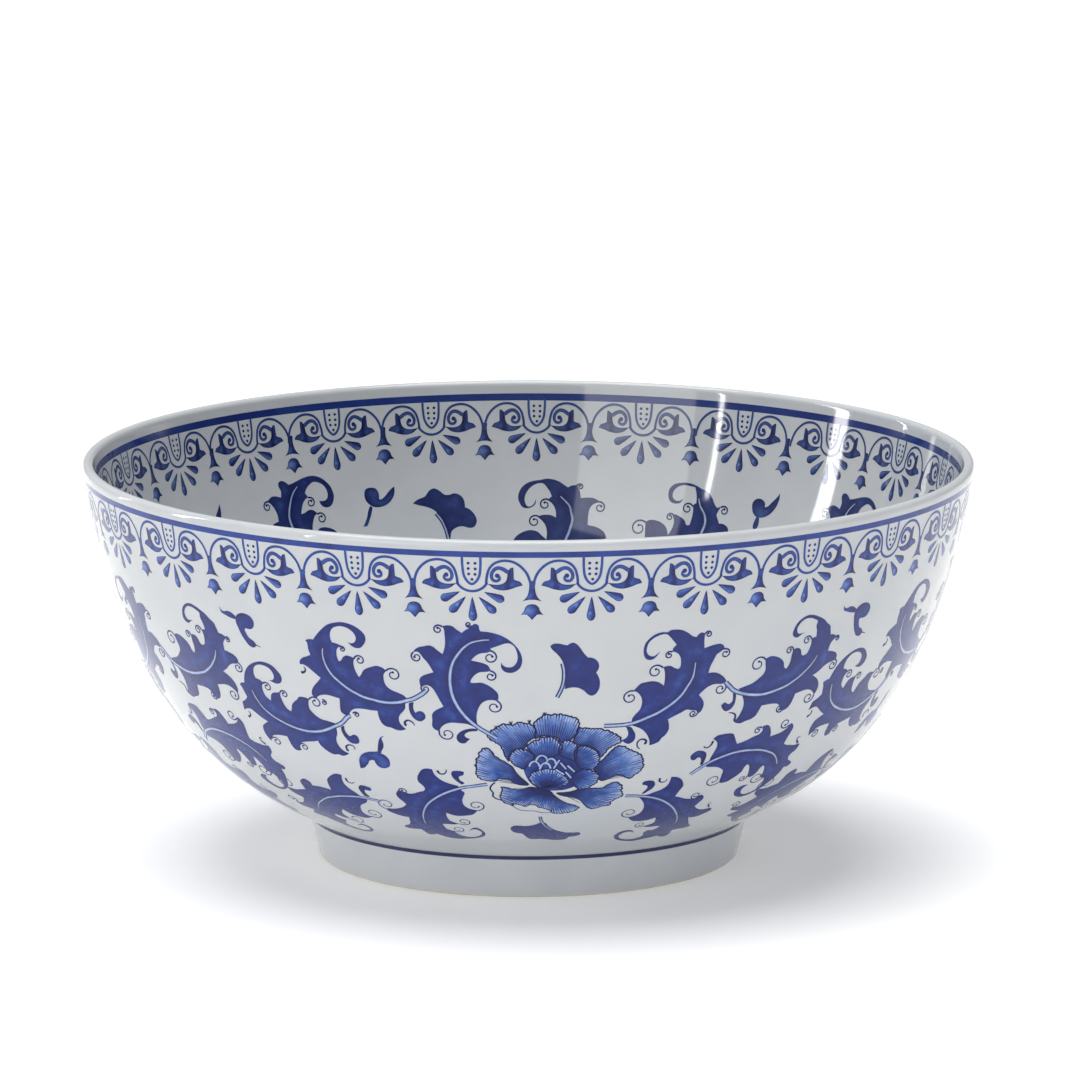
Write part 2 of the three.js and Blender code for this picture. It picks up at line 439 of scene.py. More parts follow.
    def piece(self, name, side, shift=0.0, down=0.0):
        """The painting laid on one side of the wall, moved round it by a shift and down it."""
        points = np.concatenate(self.points)
        lifts = np.concatenate(self.lifts)
        blues = np.concatenate(self.blues)
        places, normals = side.lay(points + np.array([shift, down]), lifts)
        # Inside the bowl the cobalt takes the copy whose colour holds a painted reflection of the studio in
        # the glaze.
        paint = PAINT if side is OUTSIDE else PAINT_INSIDE_WITH_PAINTED_REFLECTION
        made = new_piece(name, places, self.facing_out(), paint, normals)
        tone = made.data.attributes.new("blue", "FLOAT", "POINT")
        tone.data.foreach_set("value", np.clip(blues, 0, 1).astype(np.float32))
        return made


# ---------------------------------------------------------------- The outlines, in chart millimetres
LEAF_OUTLINES = {
    "L1": """-21.5,73.4 -24,72.2 -27,71.9 -30,71.8 -32,72.3 -34,73.8 -35.4,76.2 | -37,75.6 -38,74 -37.7,71
        -37.4,68 -36,66.3 -34,65 -32.6,64.2 | -33.8,61.5 -35,58.5 -36.3,56 -37.6,55 -39,55 -40.6,56.3 |
        -41,54 -40.7,52 -39.5,50.8 -37.5,49.9 -35.3,49.1 | -36.2,47 -37.3,45 -38.5,43.5 -40.5,40.8
        -42.5,41.3 | -41.5,39.8 -40,38.8 -38,38.3 -36.2,37.9 -34.5,38.4 -33.3,39.6 -31.3,41.2 | -30.5,39
        -30.1,36.5 -30.1,33 -30.3,30.8 -31,30 | -28.8,29.5 -27,29.8 -25.6,31 -23.8,32.3 | -22.5,31.2
        -20.5,30 -19.7,29 -18.7,28.6 -17.5,29.3 -17.4,30.5 -17,31.5 | -14,31.8 -11,32.5 -8,34 -5.5,36
        -3.5,38.5 -2.3,41.3 -2.1,44 -3,46.5 -5,48.2 -7,48.5 -9,47.7 -9.9,46 -9.7,44 | -9.2,45.2 -8,46
        -6,46 -4.5,44.7 -3.8,42.5 -4,40 -5,37.5 -6.5,36.3 -8.5,36.4 -10.5,37.2 -13.5,38.4 | -13.3,39.5 |
        -15,40.2 -17,40.5 -19,41.5 -20.8,43.5 | -18.5,44 -16,44.7 -14.7,45.5 -13.6,47.8 | -15.5,48.2
        -18,48.5 -20,50 -21.3,52 -21.4,53 | -20,53.1 -17.5,52.9 -15.2,53.8 -13,55.5 -11.5,57.3 -11.1,59
        -11.6,61 | -13.5,60.6 -15.5,60.8 -17.5,62 -19,64.5 -19.8,67.5 -20,70.5 -19.9,73""",
    "L2": """-46.8,61.3 -48,60 -50,59 -52,58.2 -54,56.7 -54.8,55 -55,53 -54.7,51.2 -53.5,49.7 | -54.5,48.7
        -56,48 -57.5,47.8 -59.5,48.5 -61.5,49.3 -63,50.5 -64,52.2 -65,53.3 | -65.6,52 -66.3,49.5 -66.3,47
        -65.8,45.5 | -67,44.8 -69,44.5 -70.5,45.5 -71.3,46.7 -72.3,47.3 | -72.8,45.5 -72.7,43.5 -72.2,42
        -70.5,40.5 | -72,39.9 -74,39.5 | -74.4,37.5 -74.1,35.5 -73,33.8 -71.5,33 -69.5,32.6 -67.5,32.9
        -65.8,33.8 -64.5,35.2 -64,37 -64.7,38.5 -66,39.2 -67.5,38.8 | -66.5,40 -65,40.9 -63,40.9
        -61.3,39.5 -60.3,37.7 -60.2,35.7 -61.3,34 -63.5,32.3 -66,31.3 -69,30.9 -72,31.4 -75,32.5
        -77.5,34.5 -80,37 -81.8,39.2 | -84,39.3 -85.3,39.9 | -84.7,41 -84.7,43.5 -84.2,45.8 | -86,46.7
        -88,47.5 -89.5,49 -89.8,50.5 | -88,50.5 -86.5,51.3 -84.5,53 -81.7,55.5 | -83.5,57.5 -85.5,59.5
        -87,61.8 -87.3,63.8 -86,65.5 | -84.5,64 -82.5,63.2 -80,63 -77.5,63.5 -75.2,64 | -75.5,66
        -75.9,68.5 -75.8,70.5 -74,71.8 -71.8,72 | -72.2,70.8 -70.5,68.8 -68.5,68 -65.5,67.9 -62.5,68.2
        -59.8,68.2 | -59.8,70 -59.5,72.5 -58.7,74.5 -57,75.7 -55.2,76 -53.5,76.9 -51.5,77.1 -49,76.2 |
        -50.2,75 -51.2,73.2 -51.3,71 -50.5,69.2 -49,67.5 -48,66 -47.7,64 -47,62.8""",
    "L3": """-80,76.5 -83,75.8 -86,75.2 -88,74 -89.3,72.5 -90.3,71 -90.3,69 -89.8,67 -89.2,66 | -91,65.5
        -92.8,65.4 -94.3,65.8 -95.3,67 -97,68.3 -98.5,69.8 -99.3,71.8 -100,73.3 | -101.5,72.5 -102.5,70.8
        -103,68.5 -103.1,66.2 -102.7,64.7 | -104.5,65.1 -106.5,65.5 -107.8,66.5 -108.5,68 -109,69.5 |
        -110.5,68.5 -111.4,67 -111.6,65 -111.3,63 -110.2,61.8 | -111.3,60.6 -113.6,59.9 | -113.9,58
        -113.4,56 -112.3,54.5 -110.5,53.6 -108.5,53.4 -106.5,53.8 -104.8,54.8 -103.9,56.5 -104,58.3
        -105,59.5 -106.8,59.8 | -105,60.6 -103,60.9 -101.2,60.2 -100.2,58.7 -100.2,56.7 -101.5,54.7
        -103.3,53 -105.5,52.1 -108.5,51.9 -111.5,52.6 -114.5,54 -116.8,55.8 -118.8,58.3 -120,60.8
        -120.8,63.2 | -122.3,63.3 -123.8,64.3 | -123,66 -122.5,68 -122,70 | -124,71.8 -126,73 -126.4,75
        -126.8,77 | -124.5,76 -122.5,75.9 -120.5,77.3 -118,79.3 -115.2,81 | -117.5,82.3 -119.3,83.8
        -120,86 -120,88.2 -119.2,90.5 -118.5,92 | -117,89.8 -115.5,88.3 -113,87.6 -110,87.3 -107.5,87.5 |
        -107.3,90 -107,92.5 -106,94.5 -104.7,94.8 -102.5,94.2 | -102.5,92.5 -101.5,90.5 -100,89.3 -97,88.5
        -94,88 -91.5,87.2 | -91,89.5 -89.5,91.5 -87.5,93.3 -85.5,94 -83.5,93.6 -81.5,94.2 -79.5,93.5
        -77.8,92.3 | -79.5,91.5 -81,90 -81.8,88 -82,86 -81.5,84 -80.5,82 -80.2,80 -80,78.8""",
    "R1": """41,71.5 41,70.5 42,68.5 43.5,66.5 44.1,64 44,62 43.2,60 42,58.5 40.2,57.5 | 41.3,56 42.8,54.4
        45,53.9 47.5,53.7 49.7,54.3 52,56 | 52,53.5 51.8,51 51.3,49 50.7,48 | 52,47.5 53.8,47.6 55.5,48.6
        57,49 57.6,48 | 57.5,46 57,44 55.8,42.5 53.7,41.5 | 53.8,40.3 55,38.8 | 53.5,37 52,35.3 51,34.4
        49,34.3 46.5,35.3 44.5,37 43.8,39 43.8,41 44.8,42.5 46.5,43 47.8,42.2 49,41 | 48.2,42.5 47,44
        45.5,44.5 43.8,44 42.8,42.2 42.5,40 43,37.5 44.5,35.5 46.5,34 49,33.3 51.2,33.4 52,32.8 54,32.6
        56.5,33 59,34.3 61,35.8 62.5,36.3 | 63.5,35 64.5,34.6 65.8,35.3 | 65.8,37.5 66,39.3 66.3,41.2 |
        68.5,40.5 71,40 72.8,40 74.2,41 74.7,42.3 | 73,43.5 71.8,44.3 71,46.2 70,49 69.5,52 | 72,52
        74,52.7 76.5,54.5 78,56.5 | 76.5,57.5 74,57.3 72,57.5 70,58.5 68.5,60 67.2,61.5 | 68.5,63 69.8,65
        70.1,67.5 69.3,69.7 68,70.5 | 67.5,69 65.5,68.5 63,68 61,69.2 58.5,70.5 56,72 | 56.8,74.5
        57.1,77.5 56,80 54.8,81.3 54,83 52,84.2 50,84.7 | 49.8,82.5 48.8,80 47.5,78 45.8,76.2 43,74.5
        41.5,73.8""",
    "R2": """84.3,60.6 87,59.8 90,58.8 92.5,57 94.2,55.2 94.6,53.5 94.2,51.5 93.5,49 | 95,48 97.2,48
        99.5,48.8 101.5,50 102.8,51.5 103.5,53.5 104.7,54.5 | 105.5,53 105.9,51 105.8,49 105.9,47 |
        107,46.1 108.8,46.3 110,47.3 110.6,49 111.5,49.8 | 113.3,49.2 114,47.5 114.4,45 113.8,43 |
        116.2,42.5 | 115.8,40 115,37.8 115.2,36 113.5,35 111.5,34.3 109,34.3 107,35.5 105.9,37.2 106,39
        107,40 108.5,40 110,39.8 | 108.5,40.5 106.8,41.5 105,41.1 104,39.8 104.3,37.5 105.3,35.5
        107.3,33.8 110,32.9 113,33.3 116,34.5 118.5,35.8 120.5,37.5 122.5,39 123.2,41 123.8,42.8 |
        125.5,43 127.7,44.2 | 126.2,45.3 125.2,46.5 124.8,48 124.7,49.8 | 127,50.3 129.5,51.3 130.7,52.8
        130.5,54.5 | 129,55 127,55.3 125,56.3 123,58 120,59.8 | 122.5,61.3 124.2,63 125.2,65.3 125.2,67.5
        124.3,69.5 | 123,67.8 121,66.5 118.5,66.1 115.8,66.5 113.3,67 | 113.1,69.5 112.5,72 111.2,73.8
        108.8,74.7 | 107.3,73.2 106.5,71.5 105,70.5 102,70.1 97.5,70.2 | 96.8,72.5 95.8,75 94,76.3 91.5,77
        89.5,77.8 87.5,77.4 85.8,76.5 | 87.3,74.5 88.1,72 88.4,69 87.8,66.5 86.5,64 85.5,62.8""",
    "R4": """80.3,98 80.5,95 81.1,92 81.6,89 80.8,86.3 78.5,84.5 | 80.3,82.8 83,82.4 85.5,82.4 87.8,83
        89,84.8 90.3,87 91.5,88.8 | 94,88.2 96.5,87.2 99,86 101.5,85 102.4,83.5 101.5,81.2 | 104,80.8
        105.8,82 107,84 107.8,86 108,87.5 | 110.5,87 113.5,86.2 116,84.5 117.3,82 | 118.8,83 119.8,85
        119.5,87.5 119,90 118.7,93.5 | 121,94.7 123.5,95.2 126,95.7 129.2,95.5 129.6,97.5 129,99.5
        127.5,101 126.8,102.8 | 128,105 129.8,106 132,108 130.7,110 | 128.5,110 | 128.3,113 127.5,116
        126.2,119 124.5,122 122.5,124.5 120,126.8 117,128.5 114,129.2 111,128.8 108,127.2 106,124.8
        105,122 106,119.8 108.5,118.5 111.5,118.8 | 110,120 109.3,122 109.8,124 111.5,126 114,127
        117,126.5 119.5,124.8 120.8,122 120.5,119 119.5,116 118,115 | 116,114 115.8,111.5 115.2,109
        114,106.5 112.8,105.5 | 111.8,107.5 111.2,110 110,112 108,112.5 106.5,111.2 | 105.8,108.5 105,106
        104,104 102.5,102.8 | 101.6,104.5 101.5,107 100,109.5 98,111.5 96,113.2 93,113.6 91.3,112.8 |
        90.9,110 90.5,107 90,104.5 88,102.8 85,101.5 82,101 80,100.5""",
    "L8": """-31.2,107.6 -34,106.7 -36.8,105.3 -39,103.4 -40.7,100.6 -41.2,97.8 | -43.4,97.3 -45.7,98.1
        -47.6,100.6 -49,103.7 -49,106.4 -47.3,109.2 -46.9,111.2 -47.9,112.8 | -50.7,113.9 -53.4,115.3
        -55.7,115.6 | -60.1,113.9 -62.1,116.4 -62.1,119.2 -60.7,122 -59.4,124.8 | -61.2,127 -64,128.9
        -67.3,130.1 -70.9,130.3 | -72.1,132 -70.1,134.5 -67.3,136.4 -64,137.6 -62.1,137.8 | -62.6,140.9
        -63.4,144.2 -65.1,147 -67.9,148.7 -69,150.3 | -67.9,152 -64.6,152.6 -60.1,152.3 | -59,154.8
        -58.4,157 -57.3,159.5 -54.6,159.2 -52.3,157.6 | -50.1,159.8 -46.8,162.3 -42.9,163.7 -38.4,163.7
        -34,162.8 -29.6,161.2 -26.2,158.9 -24,155.9 -23.6,152.6 -24.3,149.8 -25.7,147 -26.8,145.6
        -29,145.9 -30.7,147.8 -32.2,150.9 | -30.1,148.4 -28.2,147.8 -26.2,149.5 -25.4,152.6 -26.2,155.3
        -28.4,158.1 -31.8,159.8 -35.1,159.5 -37.9,157.6 -40.1,154.2 -40.7,151.7 | -44,149.2 -44.8,146.4
        -45.1,143.1 | -42.3,142.6 -39,142.7 -35.7,141.7 | -37.9,140.3 -39.8,138.7 -40.7,135.9 -40.8,133.1
        -40.4,130.3 | -38.4,131.7 -35.1,132.8 -31.2,132.3 -27.3,130.9 -25.1,128.1 -24,126.7 | -26.8,125.9
        -29,124.5 -30.4,122 -30.6,118.7 -29.6,115.3 -28.7,112.6 -30.1,110.6""",
    "L7": """-82.8,121.4 -84.2,119.2 -86.4,116.4 -87.8,113.1 -87.6,109.8 -86.7,107 | -89.2,106.4 -92,107.6
        -94.8,109.8 -96.7,112 -97.6,115.3 -98.1,119.8 | -103.1,118.7 -108.7,118.7 | -108.7,116.2
        -110.9,114.2 -113.7,115.3 -115.3,117 -115.9,120.3 -116.2,123.7 | -119.8,124.5 -123.7,125.6
        -127,125.3 -130.1,124.8 | -129.2,128.7 -127,130.9 -124.2,132.6 | -125.9,135.3 -128.7,138.4
        -132,140.3 -135.9,140.3 | -135.9,142.6 -132.6,144.8 -128.7,145.9 -127,145.9 | -129.8,149.2
        -132,151.4 | -128.7,153.7 -124.2,155.3 | -122.6,158.1 -119.8,161.4 -116.4,164.8 -112.6,167.6
        -108.1,169.2 -103.1,168.9 -99.2,167.6 -96.4,164.8 -95.3,161.4 -95.9,158.1 -97.6,156.2 -100.9,156.2
        -104.2,158.7 | -100.9,157.6 -98.7,158.1 -97.6,160.9 -98.7,164.2 -102,166.4 -106.4,166.7
        -110.3,164.8 -113.1,161.4 -112,157.6 -108.7,153.7 | -112,152 -113.1,149.2 -112,146.4 |
        -109.8,147.6 -107,149.5 -103.7,149.8 | -104.2,147 -104.8,144.2 -103.7,141.4 -101.2,138.1 |
        -99.8,140.9 -97,143.4 -93.1,144.8 -89.2,144.8 -85.9,143.1 -84.8,142 | -87.6,140.9 -88.7,138.1
        -88.1,134.8 -86.4,130.9 -83.7,128.7 -81.4,127 -80.1,124.2""",
    "R5": """56.3,116.3 59.1,114.7 61.9,113.3 63.8,111.1 64.4,108.6 64.4,104.9 | 66.9,105.2 69.7,106.9
        71.6,109.7 72.4,112.4 71.6,115.8 70.8,119.9 | 74.1,121.3 77.4,123 80.8,123.8 82.4,124.1 |
        85.2,121.3 87.4,123 88,125.2 87.2,128 86.1,131.3 | 88.6,134.1 91.3,135.8 94.7,136.3 97.4,135.8
        99.1,136.9 99.7,139.1 | 96.9,141.9 94.1,144.1 90.8,144.4 88.6,144.1 | 90.2,147.4 92.2,150.8
        94.1,154.1 96.9,156.9 96.9,158.6 | 93.6,160.2 89.7,160.2 86.9,160.8 | 86.9,163.6 88,166.9
        87.4,170.8 85.2,171.9 | 82.4,170.2 80.2,168 | 76.9,169.7 73,171.3 69.1,173 65.8,174.1 61.9,173
        58,171.3 54.1,168.6 51.3,165.2 49.9,161.3 50.5,157.4 52.4,154.1 55.8,153 58.6,154.1 60.8,158 |
        58,155.8 55.2,156.1 53.3,158.6 53,161.9 54.7,165.8 57.4,168.3 61.3,169.7 65.2,169.7 68,167.4
        69.1,163.6 | 67.4,159.7 69.1,155.8 | 71.3,156.9 73.6,154.1 74.4,151.3 | 71.3,150.8 68,151.1
        65.2,150.5 63.3,149.1 | 65.8,148 68,145.8 68,142.4 66.9,139.1 | 65.2,140.5 62.4,141.6 59.1,141.9
        55.2,141.1 52.7,138.8 51.1,136.1 | 54.1,134.9 56.1,133 56.9,129.7 56.6,126.3 55.2,122.4 53,119.1
        52.2,117.7""",
}
LEAF_VEINS = {
    "L1": """-12.5,79 -16,76.4 -20,73.3 -24,69 -27,64 -28.6,59.5 -29.2,55 -29,50 -27.8,45 -25.5,41 -23,38
        -20.5,36.2 -17,35.2 -14,34.9""",
    "L2": """-38.8,57.3 -40,58.5 -42,60 -44.5,61.5 -47,62.3 -49.5,63.2 -53,63.8 -57,63.8 -61,63 -64.5,62.2
        -67.5,60.8 -70.5,59 -73.5,56.5 -76,54 -77.5,51.5 -78.5,48.5 -78.8,45 -78.3,42.5""",
    "L3": """-72.3,71.8 -74,73 -76,75.2 -78,76.7 -80.5,78 -83,79.3 -86,80.8 -89.5,81.9 -93.5,82.5 -97,82.4
        -100.5,81.8 -104,80.8 -107,79.5 -110,78 -112.5,76.2 -114.7,74 -116.3,71.2 -117.3,68.5 -117.8,66""",
    "R1": """30,73.3 33.5,73.4 37.5,73.3 41,72.8 44,71.8 47.5,70.2 51,68.5 54,66.5 56.5,64.5 58.5,62.5
        60.2,60.2 61.5,57.5 62.7,55 63.4,52.5 63.5,50 63.5,47""",
    "R2": """77.8,57 79.8,59 82,61 85,62.5 88,63.5 91.5,64.3 95,64.7 98,64.6 101,64.1 104.5,63.2
        107.5,62.2 110.5,60.5 113,58.8 115.5,56.5 117.5,54.2 118.8,52 119.2,50.8""",
    "R4": """73.5,104.5 75.5,102.3 77.5,100.5 79.5,98.8 82,97.2 85,95.9 88,94.8 91,94 94.5,93.6 98,93.6
        101.5,94 105,94.5 108.5,95.5 111.5,96.8 114.5,98.3 117,100.3 119,102.5 120.5,104.5 121.5,106.2""",
    "L8": """-17.9,105.9 -21.2,106.7 -24.6,107.6 -27.9,108.4 -31.2,109.7 -34.6,111.4 -37.9,113.4
        -41.2,115.9 -44,118.4 -46.8,121.4 -49,124.5 -50.7,127.6 -52.1,130.9 -53.2,134.2 -53.9,137.6
        -54.4,140.9 -54.3,143.7""",
    "L7": """-72.6,124.5 -76.4,123.7 -80.3,123 -84.2,122.7 -88.1,123.1 -92,123.7 -95.9,124.5 -99.8,125.9
        -103.7,127.3 -107.6,129.5 -110.9,132 -114.2,134.5 -117,137.3 -119.2,140.3 -121.2,143.7""",
    "R5": """45.2,116.3 49.1,116.6 52.4,117.2 55.8,118 59.1,119.2 62.4,120.8 65.8,123 69.1,125.8
        71.9,128.6 74.4,131.6 76.6,134.9 78.6,138 80.2,141.1 81.6,144.1 82.4,146.9 82.9,150.2""",
}
LEAF_BUDS = {
    "L1": """-20,74.6 -22,74.3 -24.5,74.8 -27,76.2 -28.5,78.2 -28.6,80.3 -27.4,81.9 -25.5,82 -24.3,80.8
        -23.2,79.6 | -24.6,79 -25.3,77.8 -24.3,76.5 -22.5,75.8 -20,75.4""",
    "L2": """-46.3,63.5 -46.5,66.5 -46,69 -44.7,71 -42.7,71.9 -40.7,70.7 -40.2,69 -40.8,67.5 -42,66.9
        -43.3,67.2 -44,67.9 | -44.6,66.5 -44.6,64.5 -44.3,63""",
    "L3": """-77.8,78 -78,80.5 -77.3,83.2 -75.5,85.8 -73.3,86.4 -71.5,85.7 -70.9,83.7 -71.5,81.8
        -72.8,81.4 -74,82 -75,82.5 | -76,81 -76.4,79 -76.2,77.3""",
    "R1": """38.8,74.3 39.8,76 40.3,78 39.8,79.8 37.8,81 | 39,82.2 41,83.2 42.8,82.2 43.5,80.2 43.2,78
        42.2,76.2 41,74.5""",
    "R2": """82,62.5 82.5,64.5 82.6,66.2 81.8,67.2 80.7,67.2 79.5,66.3 78,67.5 | 78.8,69.2 80.7,70.7
        82.7,70 83.9,68 84,65.5 83.5,63""",
    "R4": """77.8,98.8 78,96.5 78,93.5 77,91.5 75,90.4 72.8,90.2 71,91.5 70.3,93.2 71.3,95.2 72.8,95.5
        73.8,94.3 | 75,94.3 75.9,95.5 76.3,97.5 76.5,99""",
    "L8": """-29.3,106.7 -31.2,104.8 -32.6,102.6 -33.2,100.3 -32.6,98.4 -30.1,97.8 -27.6,98.4 -27.9,100.3
        -29.6,101.2 | -30.1,102 -29.6,103.9 -27.9,105.6""",
    "L7": """-80.1,121.4 -80.9,118.1 -80.9,114.8 -79.2,112.8 -77.6,112.8 -74.5,113.9 -74.5,115.9
        -76.4,116.4 | -78.1,116.2 -78.4,118.7 -77.3,121.4""",
    "R5": """52.7,115.2 54.1,112.4 54.4,110.2 53.6,109.4 51.6,108.6 51.6,106.9 53.8,106.1 56.3,106.6
        57.7,108.8 57.2,111.9 55.2,114.1 53.8,115.5""",
}
LEAF_CURLS = {
    "L1": """-35.4,76.1;-32.3,77.5;-1 -40.6,56.2;-38.9,56.6;-1 -42.5,41.3;-41.2,43;-1 -31,30;-32.4,31.3;-1
        -20.2,29.6;-21.2,28.9;+1 -13.3,39.4;-13.8,42.1;+1 -13.7,47.8;-13.8,50.1;+1 -11.6,61;-12.9,63.8;+1""",
    "L2": """-53.5,49.5;-51,51.2;+1 -65.8,45.4;-63.7,46;+1 -71,41;-70.2,42;+1 -82.9,65.5;-82.7,66.8;+1
        -70.5,70.3;-69.3,71;+1""",
    "L3": """-89.2,66;-86.7,67.3;+1 -102.7,64.6;-101,65.4;+1 -110.5,61.8;-108.8,63.2;+1
        -117,90;-115,91.5;+1 -102,90.8;-100.2,92;+1""",
    "R1": """40.2,57.5;39.2,60.5;-1 50.5,47.9;48,49.6;-1 53.5,41.6;52.6,43;-1 65.8,35.2;67.2,35.6;+1
        74.6,42.3;75.3,44.3;+1 77.5,57.5;75.9,59.7;+1 68,70.4;66.2,70.1;+1""",
    "R2": """93.5,48.8;90.7,50.7;-1 106,46.5;104.2,46.6;-1 113.8,42.8;111.9,43.4;-1 127.5,43.9;128,45;+1
        130.6,54.5;129.6,56.7;+1 124.3,69.5;121.5,70.2;+1 108.5,74.8;107.5,73;+1""",
    "R4": """91,113;87.5,110.6;+1 106.5,111.5;104.4,112.5;+1 118,115;113.8,114;+1 101.3,81.8;99.8,83;-1
        116.5,83;114,81.6;+1""",
    "L8": """-24,126.7;-24.5,122.4;-1 -35.7,141.7;-32.9,138.8;-1 -40.7,151.7;-37.9,148.8;-1
        -60.1,113.9;-57.9,114;+1 -72.1,131;-70.3,126.5;+1""",
    "L7": """-84.8,142;-82,137.7;-1 -130.1,124.8;-126.6,120.5;+1 -135.9,140.3;-136.5,137;-1
        -103.7,149.8;-98.5,148.5;-1""",
    "R5": "51.1,136.1;50.6,131.6;+1 82.4,124;82.4,121.2;+1 63.3,149.1;60.8,146.5;+1",
}
LEAF_STROKES = {
    "L2": "-89.5,54 -88.2,53.5 -87.7,52.2 -88.2,51.5 | -49,74 -49.1,72.7 -47.7,71.7 -46,72.5 -45.2,74",
    "L3": """-125.5,80.2 -124.3,79.3 -124,78 -124.5,77.5 | -78,90.5 -78.2,88.5 -76.5,87.3 -74.7,87.7
        -74.3,89.5""",
    "R1": "48.2,83.5 48.4,82.2 47.2,81.2 45.5,81.5 44.7,83.2 45.2,85.2 46.2,86.2",
    "R2": "86,75.5 86,74.2 85.5,72.8 84,71.9 82.5,71.6",
    "R4": "78.8,86 78.5,87.5 77.5,88.8 76,88.8 75.2,88 | 127.5,94.5 126.2,93 126,91.5 127.2,91.2",
    "L8": "-38.9,98.7 -38.2,100.1 -36.5,100.2 -35.2,98.7 -35.1,97.4",
    "L7": "-85.3,109.2 -85.3,110.9 -83.7,112 -81.7,111.2",
    "R5": """59.1,105.5 59.4,107.2 60.8,108 62.4,107.4 62.7,106.3 | 95.8,134.1 94.7,132.4 94.1,131.3
        95.2,130.2""",
}
PETALS = {
    "top_left": """-16,78.1 -14.6,75.3 -12.9,73.9 -11.8,72.8 -9.9,72 -7.7,72 -6,72.6 | -3.8,70.9 -1,71.4
        0.4,71.7 2.3,73.1 3,75.3 2.6,78.1 1.2,79.5 -0.2,80.9 -1.6,84.2 -3.8,84.2 -6.6,85.9 -7.7,88.7
        -7.9,91.4 | -9.3,88.7 -9.9,85.9 -11,83.1 -13.2,80.9 -15.2,79.8""",
    "top_right": """20.1,73.9 22.3,74.2 25.7,74.5 29.6,75.1 32.9,76.4 35.7,78.1 37.6,80.3 36.8,82.6
        34.6,83.7 32.9,85.3 31.2,88.7 29.8,89.8 29,87 26.2,84.2 22.9,82.8 19.6,82.6 18.4,80.3 19.3,77""",
    "top": """3.2,75.3 2.3,72 4,69.2 5.7,67.6 7.9,67 10.1,67.3 12.9,67.3 15.1,67.8 17.9,68.9 19.6,70.3
        20.1,72.6 19.8,75.3 18.4,78.1 16.2,80.3 13.4,80.9 12.3,79.2 10.1,78.1 7.3,77.6 4.6,77.8 2.9,79.2""",
    "right": """36.2,84.2 38.4,84.2 41.2,85.9 44,87.6 46.2,88.7 48.4,91.4 49.3,95.3 49,98.7 47.3,100.9
        46.2,102 45.1,103.7 42.9,102.8 40.1,100.9 37.9,100.9 35.1,103.1 32.3,104.2 30.7,102.6 30.1,99.2
        27.9,96.4 29,93.7 31.2,91.4 34,87""",
    "low_right": """38.4,105.6 40.7,107 42.3,109.2 42.3,112 43.4,114.2 42.9,117 40.7,118.1 39,120.3
        38.4,122.6 35.7,123.7 32.9,124.8 30.7,125.6 28.4,124.2 26.8,122 24,117.6 21.2,115.3 16.2,114.2
        12.9,112 16.2,111.7 20.1,110.9 22.9,109.2 26.2,109.2 29.6,109.2 32.9,109.2 35.7,107""",
    "bottom": """-12.1,107.6 -11.6,110.3 -12.4,113.1 -12.4,115.9 -11.3,118.7 -9.3,120.3 -7.1,122 |
        -6.8,120.3 -3.8,120.9 -1.6,122.3 0.7,120.9 3.4,121.2 5.1,123.1 7.3,123.9 9.6,125.3 11.2,127.6
        14,128.9 17.3,128.4 20.7,127.6 23.2,125.9 24,123.7 21.8,122 18.4,120.3 15.1,117.6 11.8,113.7
        9.6,110.3 7.3,108.7 4,108.1 0.7,107.6 -2.1,109.2 -6.6,109.2 -9.3,108.1""",
    "left": """-19.6,86.4 -18.2,84.8 -16.3,84.2 -14.9,85.9 -14.1,88.1 -11.6,90.3 -8.8,92.6 -6.6,94.8
        -5.4,97.6 -3.8,100.3 -1.6,103.1 0.1,105.9 -3.8,105.9 -6.6,104.2 -7.7,102.6 -10.4,102 -12.7,102
        -14.9,103.7 -17.7,103.4 -19.9,102.8 -21.8,100.9 -22.1,97.6 -21.6,94.2 -21.8,92.6 -21,89.8""",
    "inner_top": """-0.2,83.1 1.2,80.9 3.4,79.8 5.1,78.7 7.9,78.1 10.7,78.9 12.9,81.4 14,84.2 12.9,87
        9.6,89.2 5.7,89.2 2.9,88.1 1.2,85.9""",
    "inner_left": """-7.7,89.8 -6.6,86.4 -3.8,84.5 -1,84.8 1.2,86.4 2.6,88.7 1.8,90.9 -0.4,93.7 -1.6,95.9
        -3.8,94.8 -6,93.1""",
    "inner_right": """20.1,83.7 22.9,83.4 26.2,84.8 28.7,87 29.8,90.3 29.6,93.7 27.3,96.4 24,96.4
        21.2,95.3 20.1,92 19,88.1""",
    "front_bowl": """0.7,100.3 1.8,98.1 5.1,96.4 8.4,95.9 11.8,96.4 14,98.7 16.8,101.4 17.9,104.2
        16.2,106.4 12.9,107.6 8.4,108.1 4.6,107 1.8,104.8""",
    "front_right": """20.1,98.7 22.9,96.7 26.2,97 29,98.7 30.7,101.4 30.1,104.8 27.9,107.6 24,109.2
        21.2,108.1 19.6,104.8 18.4,101.4""",
    "tuck": "13.4,81.2 16.2,80.3 18.4,81.2 20.1,83.7 20.1,87 19.6,90.9 16.2,89.8 12.9,87.6",
}
HEART_GROUND = "-2,88 2,84 8,86 14,84 20,86 25,92 27,98 24,104 18,109 10,110 3,107 -1,100"
BACK_PETALS = ("top_right", "top_left", "top", "right", "low_right", "left", "bottom")
INNER_PETALS = ("inner_left", "inner_right", "tuck", "inner_top", "front_right", "front_bowl")
